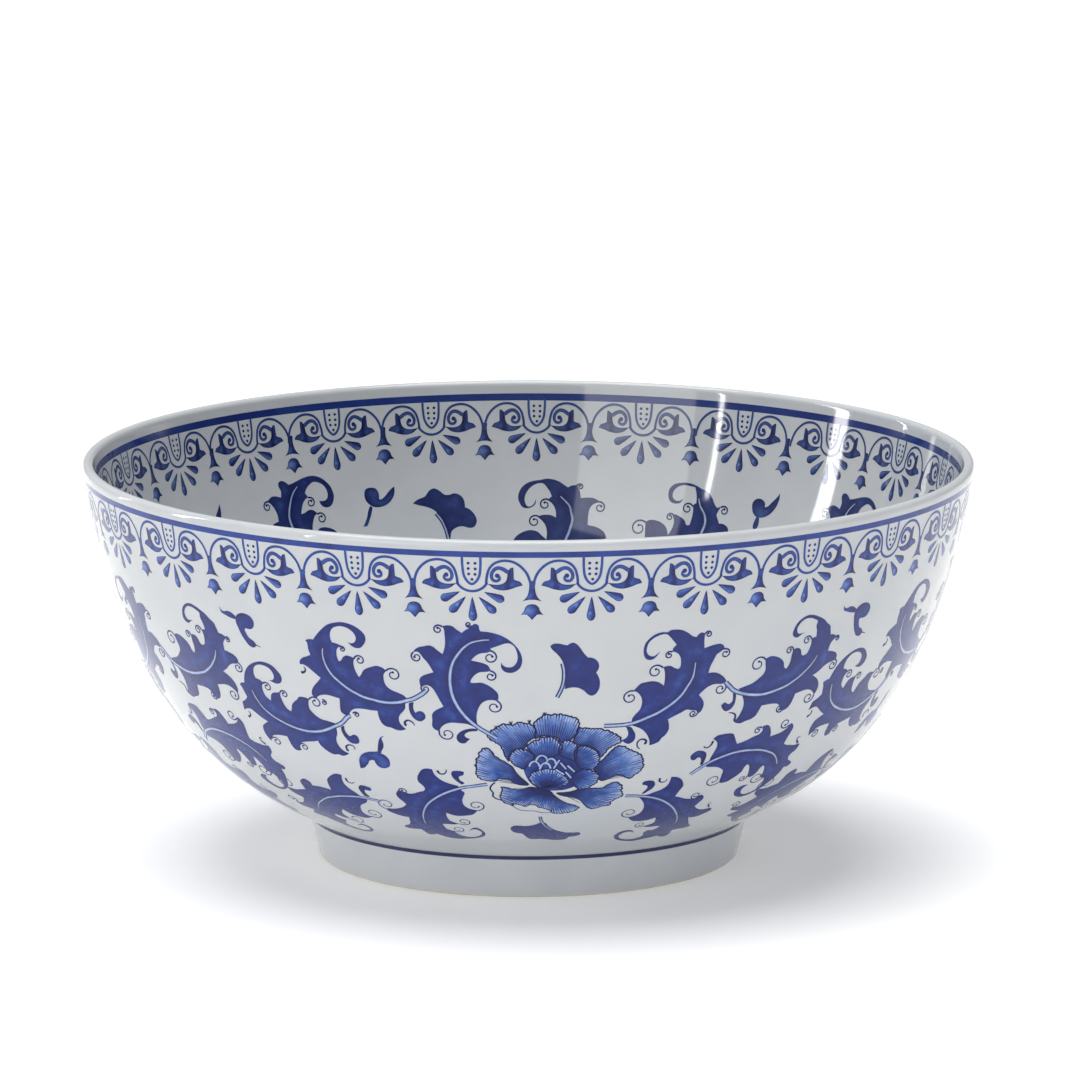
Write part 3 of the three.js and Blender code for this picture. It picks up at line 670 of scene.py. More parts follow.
STAMENS = (
    ("3.4,90.6 4.4,88.6 5.7,88 7,88.6 8,90.6", 0.9),
    ("0.6,94 1.4,92 2.8,91.3 4,92.2 4.8,94", 0.9),
    ("7.4,92.6 8.4,90.4 9.8,89.8 11,90.8 11.6,92.6", 0.9),
    ("5,95.6 6,93 7.4,92.2 8.6,93 9.4,95.2", 0.9),
    ("12.9,90.9 10.9,95.3", 0.8),
    ("13.7,92.5 16,95.9", 0.8),
    ("16.8,94.2 19.6,97.6", 0.8),
    ("12,96.4 15.1,99.2", 0.8),
    ("16.2,98.1 18.4,101.4", 0.8),
)
TURNED_EDGES = (
    ("-14.6,104.8 -16.3,107 -16.8,109.2 -15.7,112 -16,114.2 -14.3,116.4 -12.1,117.3", 0.8, 0.8),
    ("-6.8,122.3 -5.4,124.2 -3.8,125.6 -0.4,126.2 2.9,126.4 6.2,127.8 9.6,128.1 11.2,127.8", 0.5, 0.45),
    ("-14.6,103.9 -11.6,102.8 -8.2,103.1", 0.4, 0.5),
    ("35.7,103.1 38.4,101.2 42.3,102.6 44,103.7", 0.4, 0.6),
)
TUFTS = "-6.6,72 -12.4,74.2 0.6,71.2 6.5,67.6 -22,95"
HIGH_SPRIG = (
    """-116.3,34.5 -115,33.3 -112.9,32.5 -110.8,32.5 -108.8,33.3 -107.7,34.8 -107.7,36.4 -108.8,38.1
        -110.4,38.7 -112.1,38.5 | -112.8,39.1 -112.5,40.6 -111.5,42.3 -109.8,43.3 -108.8,44.5 | -109,45.4
        -110,46.2 -111.3,46.2 -112.5,45.6 -113.8,43.9 -115,41.8 -116,38.9 -116.6,36.4""",
    """-116.2,34.2 -118,33 -120,32.6 -122,33 -123.2,32.4 -123.8,31.3 | -123.3,33.6 -121,34.6 -118.5,35.3
        -116.5,35.4""",
)
HIGH_SPRIG_TAIL = "-109.2,44.9 -108,45.2 -106.7,45.6"
LOW_SPRIG = (
    """-62.9,90.4 -61.3,91 -59.8,93.1 -59.6,95.2 -60.2,97.5 -61.5,98.7 -63.5,99.3 -65.4,98.7 -66.5,96.8
        -66.7,95 | -67.9,94.8 -69.2,95.6 -70.2,97.3 -71.3,98.5 -72.7,100 -75,100.8 | -74.6,98.1 -74,95.2
        -72.5,92.7 -70.4,91 -67.9,90 -65.4,89.7 -64,89.5""",
    "-64,89.6 -63,86 -62,83 -60.8,81.3 -59,80.6 | -60.5,82 -60.3,84.5 -60.8,87 -62,89 -62.6,90.4",
)
HIGH_FAN = (
    """8,37.5 | 9,36.5 11,36.3 13,36.8 14.3,37.1 | 15,36.5 16.3,36 17.8,36.8 19,38.3 20.3,40.3 22,42.3 |
        23.3,42.4 25,43.3 26.1,45 26.2,47 25.3,48.8 | 26.3,50.5 27,53 26.8,56 25.8,58 24.3,58.9 22.8,58.3
        21,56.5 19,55.3 16.5,55 13.8,55.7 | 14,53 14.1,50.5 13.5,47 12.5,43.5 10.5,40.5 9,39""",
    "11,59.3 12,57 13,54 13.4,50.5 13.2,47 12.6,44.5",
)
LOW_FAN = (
    """5.3,138.8 | 3.5,140.5 1.5,141.5 -1,142.3 -4.5,141.8 -7.3,142 -9,144 -9.3,146.5 -8.3,149.3
        -6.5,151.3 -3.5,152.5 -2,155 -0.8,158 0.8,160.8 3.5,161.3 6.5,161 10,161.5 13.5,162.8 16.5,163.3
        20,163 22,161.5 22.5,158.5 | 25,158 28,156.5 29,154.5 28,152 26,152 23,151.8 20,151.3 17,149.5
        14,147 11.5,144 10,141.5 8.8,138.8""",
    "6,132 6.5,136 7.6,139.5 9.5,143.5 12.5,147",
)
INNER_LEAVES = {
    "a": (
        """-116.3,49.3 -114.5,48.3 -111.8,47.5 | -111.8,44.5 -112.8,41.8 -114.2,39.8 -115.3,39 | -114.5,38
            -112.5,37.1 -110.3,37.3 -108.3,38 | -107.8,35.5 -108.5,33.5 -108.3,32 -107,31.4 -105.3,31.8
            -103.5,33.3 | -101,32.8 -98.5,32 -96,31.3 -93.5,30.9 -91,31 -88.5,31.8 -86.3,33.3 -84.5,35.3
            -83.4,37.8 -83.1,40 -83.8,42.3 -85,43.8 -86.8,44.4 -88.5,44 -89.8,42.8 -90.2,41.3 | -89.3,41.5
            -87.8,41.5 -86.5,40.8 -85.9,39.3 -86.1,37.3 -87,35.5 -88.5,34.3 -90.3,33.6 -92,33.5 -93.5,34.3
            -95,35.5 -96.3,37.5 | -95,39.4 | -96.5,40 -98,41.5 -99,43.5 -99.8,45.8 | -98,45.5 -96.5,44.8
            -95,44.5 -93.5,45 -92,46.4 | -93.5,47.3 -94.5,49 -95.3,51 -95.8,53.5 | -94,54 -92.5,52.8
            -90.5,52.4 -88,52.8 -85.5,54 -83.8,55.8 | -86,58 -90,60 -93,63 -95,67 -96,71 | -98,71.5
            -101,70 -104,66 -108,62 -112,60 | -115,58 -118,55 -119,52 -118,50""",
        "-96.5,72 -99.5,66 -103,58.5 -105.3,51.5 -106,46.5 -104.5,41.5 -102.3,37.3 -99.5,34.5",
        "",
        "-115.2,38.9;-116,40.9;-1 -95,39.5;-94.4,41.6;+1 -92,46.6;-90.6,48.6;+1",
    ),
    "b": (
        """-6.7,62.7 -5.1,60.8 -2.3,59.1 0.8,58.4 3.6,59.1 5.5,60.8 7.4,62.4 | 7.6,59.1 6.9,56.3 5.5,54.4
            3.8,53 | 4.7,52.2 6.9,51.8 9.4,52 11.3,53 | 11.3,51.3 10.8,49.1 9.7,47.2 8.2,46 | 8.4,45
            9.4,44.1 | 8.6,42.2 7.4,40.5 6.3,39.1 5.2,38.6 | 3.6,38.8 1.3,39.9 -0.6,41.9 -1.7,44.4
            -1.6,46.6 -0.6,48.3 1.1,48.1 2.2,46.9 2.9,45.1 | 2.6,47.4 1.3,48.6 -0.6,49.1 -2.6,48.7
            -3.9,46.9 -4.5,44.7 -3.9,41.9 -2.3,39.7 -0.1,38.3 2.4,37.6 4.7,37.3 7.2,36.8 9.7,37 12.4,37.9
            14.7,39.4 16.1,40.3 | 16.9,39.7 18.3,39.3 19.9,39.3 | 20,40 20.8,41.3 21.2,43 21.5,44.6 |
            23,44.4 25.8,44.3 28,44.9 29.5,46.1 | 27.7,46.6 26.1,47.7 25.2,49.7 24.9,52.4 24.9,55.8 |
            26.3,56.1 28.6,56.6 30.8,57.7 32.4,59.1 33.3,61.3 | 30,62.5 26,64 22,67 19,72 17.5,77 | 13,75
            8,71 3,68.5 -2,67.5 | -5.5,65.5""",
        "15.5,77 15,70 15.8,62.4 16.9,59.7 17.7,56.9 18.3,53.6 17.7,50.8 16.9,48 15.2,46.1 13,44",
        "",
        "4,52.6;2.3,54.7;-1 8.3,45.6;6.7,47.5;-1 19.9,39.3;21.1,39.9;+1 29.4,45.9;29.6,48.3;+1",
    ),
    "c": (
        """50.1,59.8 49.9,56.6 49.7,53.6 | 51.1,52.6 54,52.5 56.9,53.4 59,55.1 60.3,58.4 | 61.9,55.1
            62.2,52.3 61.5,50.3 | 62.2,49.4 64.4,50.1 66.9,51.6 67.9,53.4 69.4,53.4 | 69.9,50.9 70.1,47.3
            69.7,45.3 | 70.4,44.4 71.1,44.1 | 70.9,41.6 70.4,39.4 69.7,37.6 | 67.6,37.3 64.7,37.1 62.2,38
            60.4,40.1 60.4,42.3 61.9,43.6 63.6,43.6 65.1,42.6 | 64,44.4 61.5,44.9 59.4,44.1 58.4,41.9
            58.6,39.1 60.4,37.1 63.3,36.2 66.9,36.1 70.4,36.9 72.6,37.9 75.8,39.1 77.9,41.2 79.7,44.1
            80.8,45.1 | 82.6,44.5 | 81.9,45.9 81.1,48 81.9,49.8 82.9,51.6 | 84.7,51.6 86.9,52.6 87.9,54.4
            | 85,57 81,60 77,65 75,70 74,74 | 70,72 66,69 61,66 56,64.5 | 51.5,62.5""",
        "74,73 74,67 74.6,60 75.5,56 76.4,52 75.5,48.5 73,45 72,42",
        "",
        "49.6,53.5;47.1,56.2;-1 61.7,49.8;60.2,50.7;-1 69.6,45.3;67.5,46.6;-1 82.8,44.7;84.2,46.2;+1",
    ),
}
INNER_SPRIG_A = (
    """-69.3,40 -68.5,38.5 -66.5,38 -64,38.6 -63,40.5 -63.1,42.8 | -62.5,43.2 -60.5,42 -58.5,40 -57,38.8
        -56,38.2 | -56.2,41 -57.5,43.5 -60,45.5 -63,46.3 -66,46 -68.5,44 -69.4,41.8""",
    "-67.6,45.6 -68.6,47.5 -69.6,50.3 -71.8,53.9 | -70,53.8 -68.6,51.5 -67.4,49 -66.6,46",
)
INNER_SPRIG_B = (
    """97,43 97.2,41 98.8,39.6 101,39.5 103,40.8 103.2,42.5 | 104.5,42.2 106.5,40 108.3,38 109.6,36 |
        109.7,39 108.5,42.5 106,45.5 103,47 100,47 98,45.5""",
    "100.3,46.8 99.4,49 99.2,51.5 100.5,52.6 101.6,51 101.8,48.8 101.2,46.8",
)
INNER_FAN = (
    """-48.7,45.7 -46.7,44.3 -43.3,43 -41.3,40.7 -39.3,39.9 -37,41 -35,42.7 -32.7,42.8 | -30.7,42.3
        -28.3,43.3 -27,45.3 -26.7,48.3 | -24.7,49.3 -22.7,51.7 -22,54.3 -23.3,56.7 -25.3,57.1 -28.3,56.3
        -30.7,56.7 -33,58.3 -33.7,61.3 | -35,58 -36,54.5 -37.5,51.5 -40,49 -43,47.5 -46.7,46.5""",
    "-33.6,68 -34.6,62 -35.5,57.5 -37,53.5 -39.2,50.4",
)


# ---------------------------------------------------------------- The rim border, one repeat
BORDER_REPEATS = 24
BORDER_PITCH = FULL_TURN * CHART / BORDER_REPEATS
BELL_AXIS = BORDER_PITCH / 2
BELL_SWELL = np.array([1.2, 1.0])

SHIELD = "-3.2,3.4 -3.1,7 -2.65,10.2 -1.4,12.4 0,13.3 1.4,12.4 2.65,10.2 3.1,7 3.2,3.4"
SHIELD_DOTS = "-1.1,5.5 1.3,5.5 -1.1,7.5 1.3,7.6 -1,9.5 1.2,9.6 0.1,11.5"
SCROLL_RING = "5,12.9 5.4,9.8 6.3,7.2 8.2,5.3 11.2,4.4 14.5,4.9 17.2,6.7 19.2,9.3 20.3,12.5 20.6,14.5"
BUD_BODY = """5.1,13 6.1,13.6 7.6,14.8 10.6,15.5 13.6,15 15.6,14.2 17.7,13.6 | 17.6,13.3 16.8,12.2 15.1,11.6
14.6,11.2 | 14.6,9 14.5,6.9 | 13.6,7 12.9,7.8 12.4,8.1 | 12.4,9.2 12.3,10.8 11.7,12.2 10.4,13.1
8.8,13.4 7.2,13.3"""
BUD_SPIRAL = """12.6,8.3 11.4,7.4 9.9,6.8 8.6,6.9 7.4,7.8 6.6,9.2 6.5,10.8 7.1,12 8.1,12.4 9.2,12.1 9.7,11.3
9.4,10.3 8.8,10.1"""
SPIRAL_CENTRE = np.array([9.6, 9.3])
SPIRAL_SIZE = 0.87
BUD_BAND_X, BUD_BAND_WIDTH, BUD_BAND_TOP = 12.6, 0.9, 7.6
SHIELD_ARCH_CENTRE, SHIELD_ARCH_RADIUS = np.array([0, 10]), 5.95
BORDER_LINE = 0.95
BELL_STEM = """-0.9,12 -0.85,14 -1,16 -1.6,18 -2.9,19.7 | -1.5,19.2 0,19 1.5,19.2 2.9,19.7 | 1.6,18 1,16
0.85,14 0.9,12"""
BELL = """0,20.7 1.2,21 2,22 2.4,23.4 3.4,24.9 | 2.3,24.7 1.5,24.8 | 0.8,25.7 0,26.9 | -0.8,25.7 -1.5,24.8 |
-2.3,24.7 -3.4,24.9 | -2.4,23.4 -2,22 -1.2,21"""
FAN_DROPS = (("4.2,16.2 11.2,19.4", 3.2), ("2.2,18 8.1,24.2", 3.2), ("0,18 0,27.5", 3.2))


def mirrored(path, sign):
    return path * np.array([sign, 1.0])


# Where along its length a drop is widest
DROP_WIDEST = 0.76


def drop(root, tip, width, steps=16):
    """A teardrop outline from a pointed root to a round end."""
    root, tip = np.asarray(root, float), np.asarray(tip, float)
    reach = np.linalg.norm(tip - root)
    ahead = (tip - root) / reach
    side = np.array([-ahead[1], ahead[0]])
    share = np.sin(np.linspace(0, math.pi / 2, steps))
    growing = np.clip(share / DROP_WIDEST, 0, 1) ** 0.8
    closing = np.clip((share - DROP_WIDEST) / (1 - DROP_WIDEST), 0, 1)
    half = width / 2 * growing * np.sqrt(1 - closing**2)
    left = root + ahead * (share * reach)[:, None] + side * half[:, None]
    right = root + ahead * (share * reach)[:, None] - side * half[:, None]
    return through(np.concatenate([left, right[-2:0:-1], left[:1]]))[:-1]


def bud_shade(sign):
    """A darker band down the bud's middle, on the side of the border repeat that the sign says."""
    def shade(at):
        band = np.exp(-(((at[:, 0] * sign - BUD_BAND_X) / BUD_BAND_WIDTH) ** 2))
        return 0.42 * band * (at[:, 1] > BUD_BAND_TOP)
    return shade


def drop_shade(root, tip):
    """A drop is lighter on one side of its axis and darker on the other."""
    across = np.array([tip[1] - root[1], root[0] - tip[0]])
    return lambda at: 0.16 * np.sign((at - root) @ across)


def border_repeat():
    """Shield with dots, a fan of drops under it, a scrolled bud each side, and one hanging bell."""
    p = Painting()
    p.stroke(through(numbers(SHIELD)), BORDER_LINE, 0.5, edge=-0.12)
    for centre in numbers(SHIELD_DOTS):
        p.dot(centre, 0.55, 0.6)
    angle = np.linspace(math.radians(30), math.radians(150), 30)
    arch = SHIELD_ARCH_CENTRE + SHIELD_ARCH_RADIUS * np.stack([np.cos(angle), np.sin(angle)], -1)
    p.stroke(arch, BORDER_LINE, 0.55, edge=-0.12)
    for sign in (1, -1):
        p.stroke(mirrored(through(numbers(SCROLL_RING)), sign), BORDER_LINE, 0.55, edge=-0.12)
        p.fill(mirrored(outline(BUD_BODY), sign), 0.32, 0.45, shade=bud_shade(sign), bleed=0.0)
        wound = through(numbers(BUD_SPIRAL))
        spiral = mirrored(SPIRAL_CENTRE + SPIRAL_SIZE * (wound - SPIRAL_CENTRE), sign)
        p.stroke(spiral, np.linspace(1.5, 1.0, len(spiral)), 0.45, lift=0.055, edge=0.2)
        p.dot(spiral[-1], 0.85, 0.62, lift=0.06)
        for ends, width in FAN_DROPS[: 3 if sign > 0 else 2]:
            root, tip = numbers(ends) * np.array([sign, 1])
            p.fill(drop(root, tip, width), 0.3, 0.5, shade=drop_shade(root, tip), bleed=0.0)
    for text, tone in ((BELL_STEM, 0.4), (BELL, 0.34)):
        shape = outline(text) * BELL_SWELL + np.array([BELL_AXIS, 0])
        p.fill(shape, tone, 0.5, shade=lambda at: 0.12 * (at[:, 0] - BELL_AXIS), bleed=0.0)
    return p


# ---------------------------------------------------------------- Scroll leaves and flowers
MAIN_REPEATS = 4
LEAF_BLUE = 0.68
MAIN_PITCH = FULL_TURN * CHART / MAIN_REPEATS


def vein_strokes(p, path, width):
    """A pale vein that tapers to its tip, edged by dark lines."""
    taper = 1 - 0.65 * np.linspace(0, 1, len(path)) ** 3
    p.stroke(path, (width + 0.8) * taper, 0.92, lift=0.055, rounded=False)
    p.stroke(path, width * taper, 0.06, lift=0.075, edge=0.2, rounded=False)


def curls(p, text):
    for entry in text.split():
        root, centre, sense = entry.split(";")
        p.curl([float(v) for v in root.split(",")], [float(v) for v in centre.split(",")], float(sense))


def leaf(outline_text, vein_text, bud_text="", curl_text="", stroke_text=""):
    """A scrolling leaf: a lobed wash, its pale vein, the bud at its root, tendrils and loose strokes."""
    p = Painting()
    vein = through(numbers(vein_text))

    def streaks(at):
        nearest = np.sqrt(((at[:, None] - vein[None, ::3]) ** 2).sum(-1)).min(axis=1)
        lighter = -0.1 * np.exp(-((nearest - 4.5) / 2.5) ** 2)
        darker = 0.2 * np.exp(-nearest / 1.8)
        brush = 0.05 * np.array([noise.noise((x / 2.4, y / 2.4, 3.0)) for x, y in at])
        return lighter + darker + brush

    p.fill(outline(outline_text), LEAF_BLUE, 0.16, 0.1, shade=streaks)
    if bud_text:
        p.fill(outline(bud_text), LEAF_BLUE - 0.02, 0.25, 0.25, lift=0.045)
    vein_strokes(p, vein, 1.3)
    curls(p, curl_text)
    for run in filter(None, (part.strip() for part in stroke_text.split("|"))):
        path = through(numbers(run))
        p.stroke(path, np.linspace(1.1, 0.45, len(path)), 0.75)
        p.dot(path[0], 0.6, 0.75)
    return p


HEART = np.array([9.0, 99.0])
LOW_HEART = np.array([9.0, 107.5])
LOW_HEARTED = ("left", "right", "low_right", "bottom", "front_bowl")


# The outline's depth of blue, and the share of the way out that its fine lines run
PETAL_DARK, HATCH_SHARE = 1.0, 0.6


def hatched(p, loop, heart, seed, blue=0.36):
    """A petal: a wash that pales outwards, a ragged dark outline, and fine lines raying from the heart."""
    draw = random.Random(seed)
    reach = np.linalg.norm(loop - heart, axis=1)
    farthest = reach.max()

    def paling(at):
        away = np.clip(np.linalg.norm(at - heart, axis=1) / farthest, 0, 1)
        return 0.16 - 0.34 * away**2

    p.fill(loop, blue, 0.0, 0.16, shade=paling, bleed=0.0)
    closed = np.concatenate([loop, loop[:1]])
    ahead = np.gradient(closed, axis=0)
    ahead /= np.maximum(np.linalg.norm(ahead, axis=1), 1e-9)[:, None]
    ragged = np.array([noise.noise((x * 0.9, y * 0.9, seed)) for x, y in closed]) * 0.9
    ragged *= np.clip(2 * np.linalg.norm(closed - heart, axis=1) / farthest - 1, 0, 1)
    p.stroke(closed + np.stack([-ahead[:, 1], ahead[:, 0]], -1) * ragged[:, None], 0.7, PETAL_DARK, lift=0.07,
             rounded=False)
    spokes = np.arctan2(*(loop - heart).T[::-1])
    middle = math.atan2(*(loop.mean(0) - heart)[::-1])
    turn = (spokes - middle + math.pi) % FULL_TURN - math.pi
    spacing = 0.95 / max(8.0, reach.mean())

    def spoke(angle, start, end, widths, tone, lift):
        """A fine line on one ray, between two shares of the ray's run inside the petal."""
        ray = np.array([math.cos(angle + middle), math.sin(angle + middle)])
        steps = heart + ray * np.arange(0.5, farthest, 0.4)[:, None]
        run = steps[inside(steps, loop)]
        if len(run) >= 4:
            ends = run[0] + np.array([start, end])[:, None] * (run[-1] - run[0])
            path = ends[0] + np.linspace(0, 1, 8)[:, None] * (ends[1] - ends[0])
            p.stroke(path, np.linspace(*widths, 8), tone, lift=lift, edge=0.0)

    for angle in np.arange(turn.min() + spacing, turn.max() - spacing / 2, spacing):
        length = HATCH_SHARE * draw.uniform(0.6, 1.35)
        spoke(angle, 0.0, min(length, 0.95), (0.5, 0.18), PETAL_DARK - 0.15, 0.065)
        if draw.random() < 0.6:
            spoke(angle, 1 - 0.5 * length, 1.0, (0.16, 0.42), PETAL_DARK - 0.2, 0.065)
        spoke(angle + spacing / 2, 1 - draw.uniform(0.1, 0.3), 1.0, (0.12, 0.5), 0.08, 0.06)


def peony():
    """The big flower: back petals, inner petals, the cupped front, stamens and turned white edges."""
    p = Painting()
    p.fill(outline(HEART_GROUND), 0.62, 0.1, 0.3, lift=0.035, bleed=0.0)
    for seed, name in enumerate(BACK_PETALS):
        hatched(p, outline(PETALS[name]), LOW_HEART if name in LOW_HEARTED else HEART, seed)
    for seed, name in enumerate(INNER_PETALS):
        q = Painting()
        hatched(q, outline(PETALS[name]), LOW_HEART if name in LOW_HEARTED else HEART, 40 + seed, blue=0.44)
        q.lifts = [lift + 0.05 for lift in q.lifts]
        p.merge(q)
    for text, width in STAMENS:
        path = through(numbers(text))
        p.stroke(path, width + 0.8, 0.95, lift=0.125)
        p.stroke(path, width, 0.05, lift=0.14, edge=0.15)
    for text, width, tone in TURNED_EDGES:
        p.stroke(through(numbers(text)), width, tone)
    for centre in numbers(TUFTS):
        for angle in np.radians((-120, -95, -70)):
            end = centre + 1.6 * np.array([math.cos(angle), math.sin(angle)])
            p.stroke(np.linspace(centre, end, 4), np.linspace(0.7, 0.25, 4), 0.85, edge=0)
    return p


def sprig(shapes, tails=""):
    """A bud sprig: rounded washes with pointed tails."""
    p = Painting()
    for text in shapes:
        p.fill(outline(text), 0.6, 0.25, 0.25)
    for run in filter(None, (part.strip() for part in tails.split("|"))):
        path = through(numbers(run))
        p.stroke(path, np.linspace(0.6, 0.25, len(path)), 0.7)
    return p


def fan(outline_text, stem_text):
    """A fan-shaped leaf on a pale stalk."""
    p = Painting()
    p.fill(outline(outline_text), 0.66, 0.2, 0.16)
    p.stem(through(numbers(stem_text)))
    return p


# ---------------------------------------------------------------- Materials
SPECULAR = 0.42
GLAZE_ROUGHNESS = 0.055
PAINT_ROUGHNESS = 0.06
FOOT_LINE_ROUGHNESS = 0.14
BISCUIT_ROUGHNESS = 0.75
# How fine the drift of each finish's colour is, and how much detail it has
GLAZE_DRIFT, LINE_DRIFT, BISCUIT_DRIFT, PIGMENT_DRIFT = 22.0, 60.0, 160.0, 420.0
SOFT_DETAIL, PIGMENT_DETAIL, BISCUIT_DETAIL = 3.0, 4.0, 6.0
# How far the grain of pigment moves the depth of blue, from end to end
PIGMENT_SWING = 0.22


def shader(name, roughness):
    material = bpy.data.materials.new(name)
    material.use_nodes = True
    nodes, links = material.node_tree.nodes, material.node_tree.links
    principled = nodes["Principled BSDF"]
    principled.inputs["Roughness"].default_value = roughness
    principled.inputs["Specular IOR Level"].default_value = SPECULAR
    return material, nodes, links, principled


def noise_node(nodes, links, scale, detail=SOFT_DETAIL):
    place = nodes.new("ShaderNodeTexCoord")
    texture = nodes.new("ShaderNodeTexNoise")
    texture.inputs["Scale"].default_value = scale
    texture.inputs["Detail"].default_value = detail
    links.new(place.outputs["Object"], texture.inputs["Vector"])
    return texture.outputs["Fac"]


def math_node(nodes, links, operation, first, second):
    node = nodes.new("ShaderNodeMath")
    node.operation = operation
    links.new(first, node.inputs[0])
    links.new(second, node.inputs[1])
    return node.outputs[0]


def range_node(nodes, links, value, ends, interpolation="LINEAR"):
    """A value carried from one range to another. The ends are from low, from high, to low and to high."""
    node = nodes.new("ShaderNodeMapRange")
    node.interpolation_type = interpolation
    for socket, end in zip(("From Min", "From Max", "To Min", "To Max"), ends):
        node.inputs[socket].default_value = end
    links.new(value, node.inputs["Value"])
    return node.outputs["Result"]


def linear(rgb):
    """An 8-bit sRGB colour as the linear RGBA that shaders take."""
    share = [v / 255 for v in rgb]
    return [v / 12.92 if v <= 0.04045 else ((v + 0.055) / 1.055) ** 2.4 for v in share] + [1.0]


def ramp_node(nodes, links, factor, stops):
    ramp = nodes.new("ShaderNodeValToRGB")
    elements = ramp.color_ramp.elements
    for _ in range(len(stops) - 2):
        elements.new(0.5)
    for element, (position, colour) in zip(elements, stops):
        element.position = position
        element.color = linear(colour)
    links.new(factor, ramp.inputs["Fac"])
    return ramp.outputs["Color"]


def speckled(name, roughness, stops, scale, detail=SOFT_DETAIL):
    """A glazed or fired finish whose colour drifts softly between the stops."""
    material, nodes, links, principled = shader(name, roughness)
    drift = noise_node(nodes, links, scale, detail)
    links.new(ramp_node(nodes, links, drift, stops), principled.inputs["Base Color"])
    return material


def painted_cobalt(name, stops):
    """Cobalt painting: its depth comes from the brushwork, with a fine grain of pigment."""
    material, nodes, links, principled = shader(name, PAINT_ROUGHNESS)
    depth = nodes.new("ShaderNodeAttribute")
    depth.attribute_name = "blue"
    grain = nodes.new("ShaderNodeMath")
    grain.operation = "MULTIPLY_ADD"
    links.new(noise_node(nodes, links, PIGMENT_DRIFT, PIGMENT_DETAIL), grain.inputs[0])
    grain.inputs[1].default_value = PIGMENT_SWING
    grain.inputs[2].default_value = -PIGMENT_SWING / 2
    total = math_node(nodes, links, "ADD", depth.outputs["Fac"], grain.outputs[0])
    links.new(ramp_node(nodes, links, total, stops), principled.inputs["Base Color"])
    return material


COBALT_STOPS = ((0.0, (186, 198, 226)), (0.22, (98, 128, 190)), (0.42, (42, 78, 156)),
                (0.62, (8, 36, 118)), (0.82, (0, 16, 90)), (1.0, (0, 8, 66)))
# Inside, the cobalt is paler and greyer than outside. This is a painted reflection: the veil of the studio
# mirrored in the glaze is laid into the colour.
INSIDE_STOPS_WITH_PAINTED_REFLECTION = ((0.0, (180, 190, 212)), (0.22, (102, 126, 176)), (0.42, (60, 82, 138)),
                (0.62, (34, 50, 104)), (0.82, (24, 34, 86)), (1.0, (18, 26, 70)))
GLAZE_STOPS = ((0.3, (193, 197, 200)), (0.5, (198, 201, 204)), (0.7, (191, 196, 201)))
# The same clear glaze on the foot ring, painted lighter. This is painted light, standing in for light that
# the foot does not get from the lamps.
FOOT_GLAZE_PAINTED_LIGHT_STOPS = ((0.3, (212, 216, 220)), (0.5, (217, 220, 223)), (0.7, (210, 215, 220)))
PORCELAIN_STOPS = ((0.3, (226, 223, 214)), (0.7, (216, 212, 203)))
RIM_LINE_STOPS = ((0.3, (12, 44, 124)), (0.5, (24, 58, 142)), (0.7, (10, 38, 112)))
INNER_LINE_STOPS = ((0.3, (22, 44, 112)), (0.7, (34, 58, 128)))
FOOT_LINE_STOPS = ((0.3, (44, 52, 92)), (0.7, (56, 64, 104)))

GLAZE = speckled("clear_glaze_over_porcelain", GLAZE_ROUGHNESS, GLAZE_STOPS, GLAZE_DRIFT)
FOOT_GLAZE_PAINTED_LIGHT = speckled("glaze_over_porcelain_painted_light_on_foot", GLAZE_ROUGHNESS, FOOT_GLAZE_PAINTED_LIGHT_STOPS, GLAZE_DRIFT)
BISCUIT = speckled("bare_porcelain", BISCUIT_ROUGHNESS, PORCELAIN_STOPS, BISCUIT_DRIFT, BISCUIT_DETAIL)
RIM_LINE = speckled("rim_line_cobalt", PAINT_ROUGHNESS, RIM_LINE_STOPS, LINE_DRIFT)
INNER_LINE = speckled("inner_line_cobalt", PAINT_ROUGHNESS, INNER_LINE_STOPS, LINE_DRIFT)
FOOT_LINE = speckled("foot_line_cobalt", FOOT_LINE_ROUGHNESS, FOOT_LINE_STOPS, LINE_DRIFT)
PAINT = painted_cobalt("painted_cobalt", COBALT_STOPS)
# The inside copy of the cobalt, whose colour holds a painted reflection of the studio in the glaze
PAINT_INSIDE_WITH_PAINTED_REFLECTION = painted_cobalt("painted_cobalt_inside_painted_reflection", INSIDE_STOPS_WITH_PAINTED_REFLECTION)


# ---------------------------------------------------------------- The bowl itself
# The gap that keeps neighbouring fine surfaces from touching
SEAM = 0.02
FOOT_TOP = FOOT_HEIGHT - SEAM
ROUNDING_STATIONS = 6
LIP_OUTSIDE_STATIONS, LIP_INSIDE_STATIONS, LINE_STATIONS = 2, 4, 3


def coat(face, back):
    """The closed section of a coat, from its face and its back."""
    return np.concatenate([face, back[::-1]])


def wall_coat(skin, start, end, stations=WALL_STATIONS):
    return coat(along(skin, start, end, 0, stations), along(skin, start, end, COAT, stations))


def foot_coat(low, high):
    return coat(foot_side(True, low, high, 0), foot_side(True, low, high, COAT))


def lip_shell(depth):
    """The lip and a little of the wall on each side of it, from the outside over to the inside."""
    return np.concatenate([
        along(outer_skin, OUTER_LINE_START, 0, depth, LIP_OUTSIDE_STATIONS),
        lip_arc(depth),
        along(inner_skin, 0, INNER_LINE_START, depth, LIP_INSIDE_STATIONS)])


def inner_shell(depth):
    """The inside wall and the well."""
    return np.concatenate([along(inner_skin, INNER_LINE_END, WALL_LENGTH, depth), well_curve(depth)])


def foot_corner(edge, side):
    """The rounded lower edge of the foot ring, up to its outside (side 1) or its inside (side -1)."""
    turn = np.linspace(0, math.pi / 2, ROUNDING_STATIONS)[:, None]
    centre = edge - side * FOOT_EDGE_ROUNDING
    return np.concatenate([centre + side * FOOT_EDGE_ROUNDING * np.sin(turn),
                           FOOT_EDGE_ROUNDING * (1 - np.cos(turn))], 1)


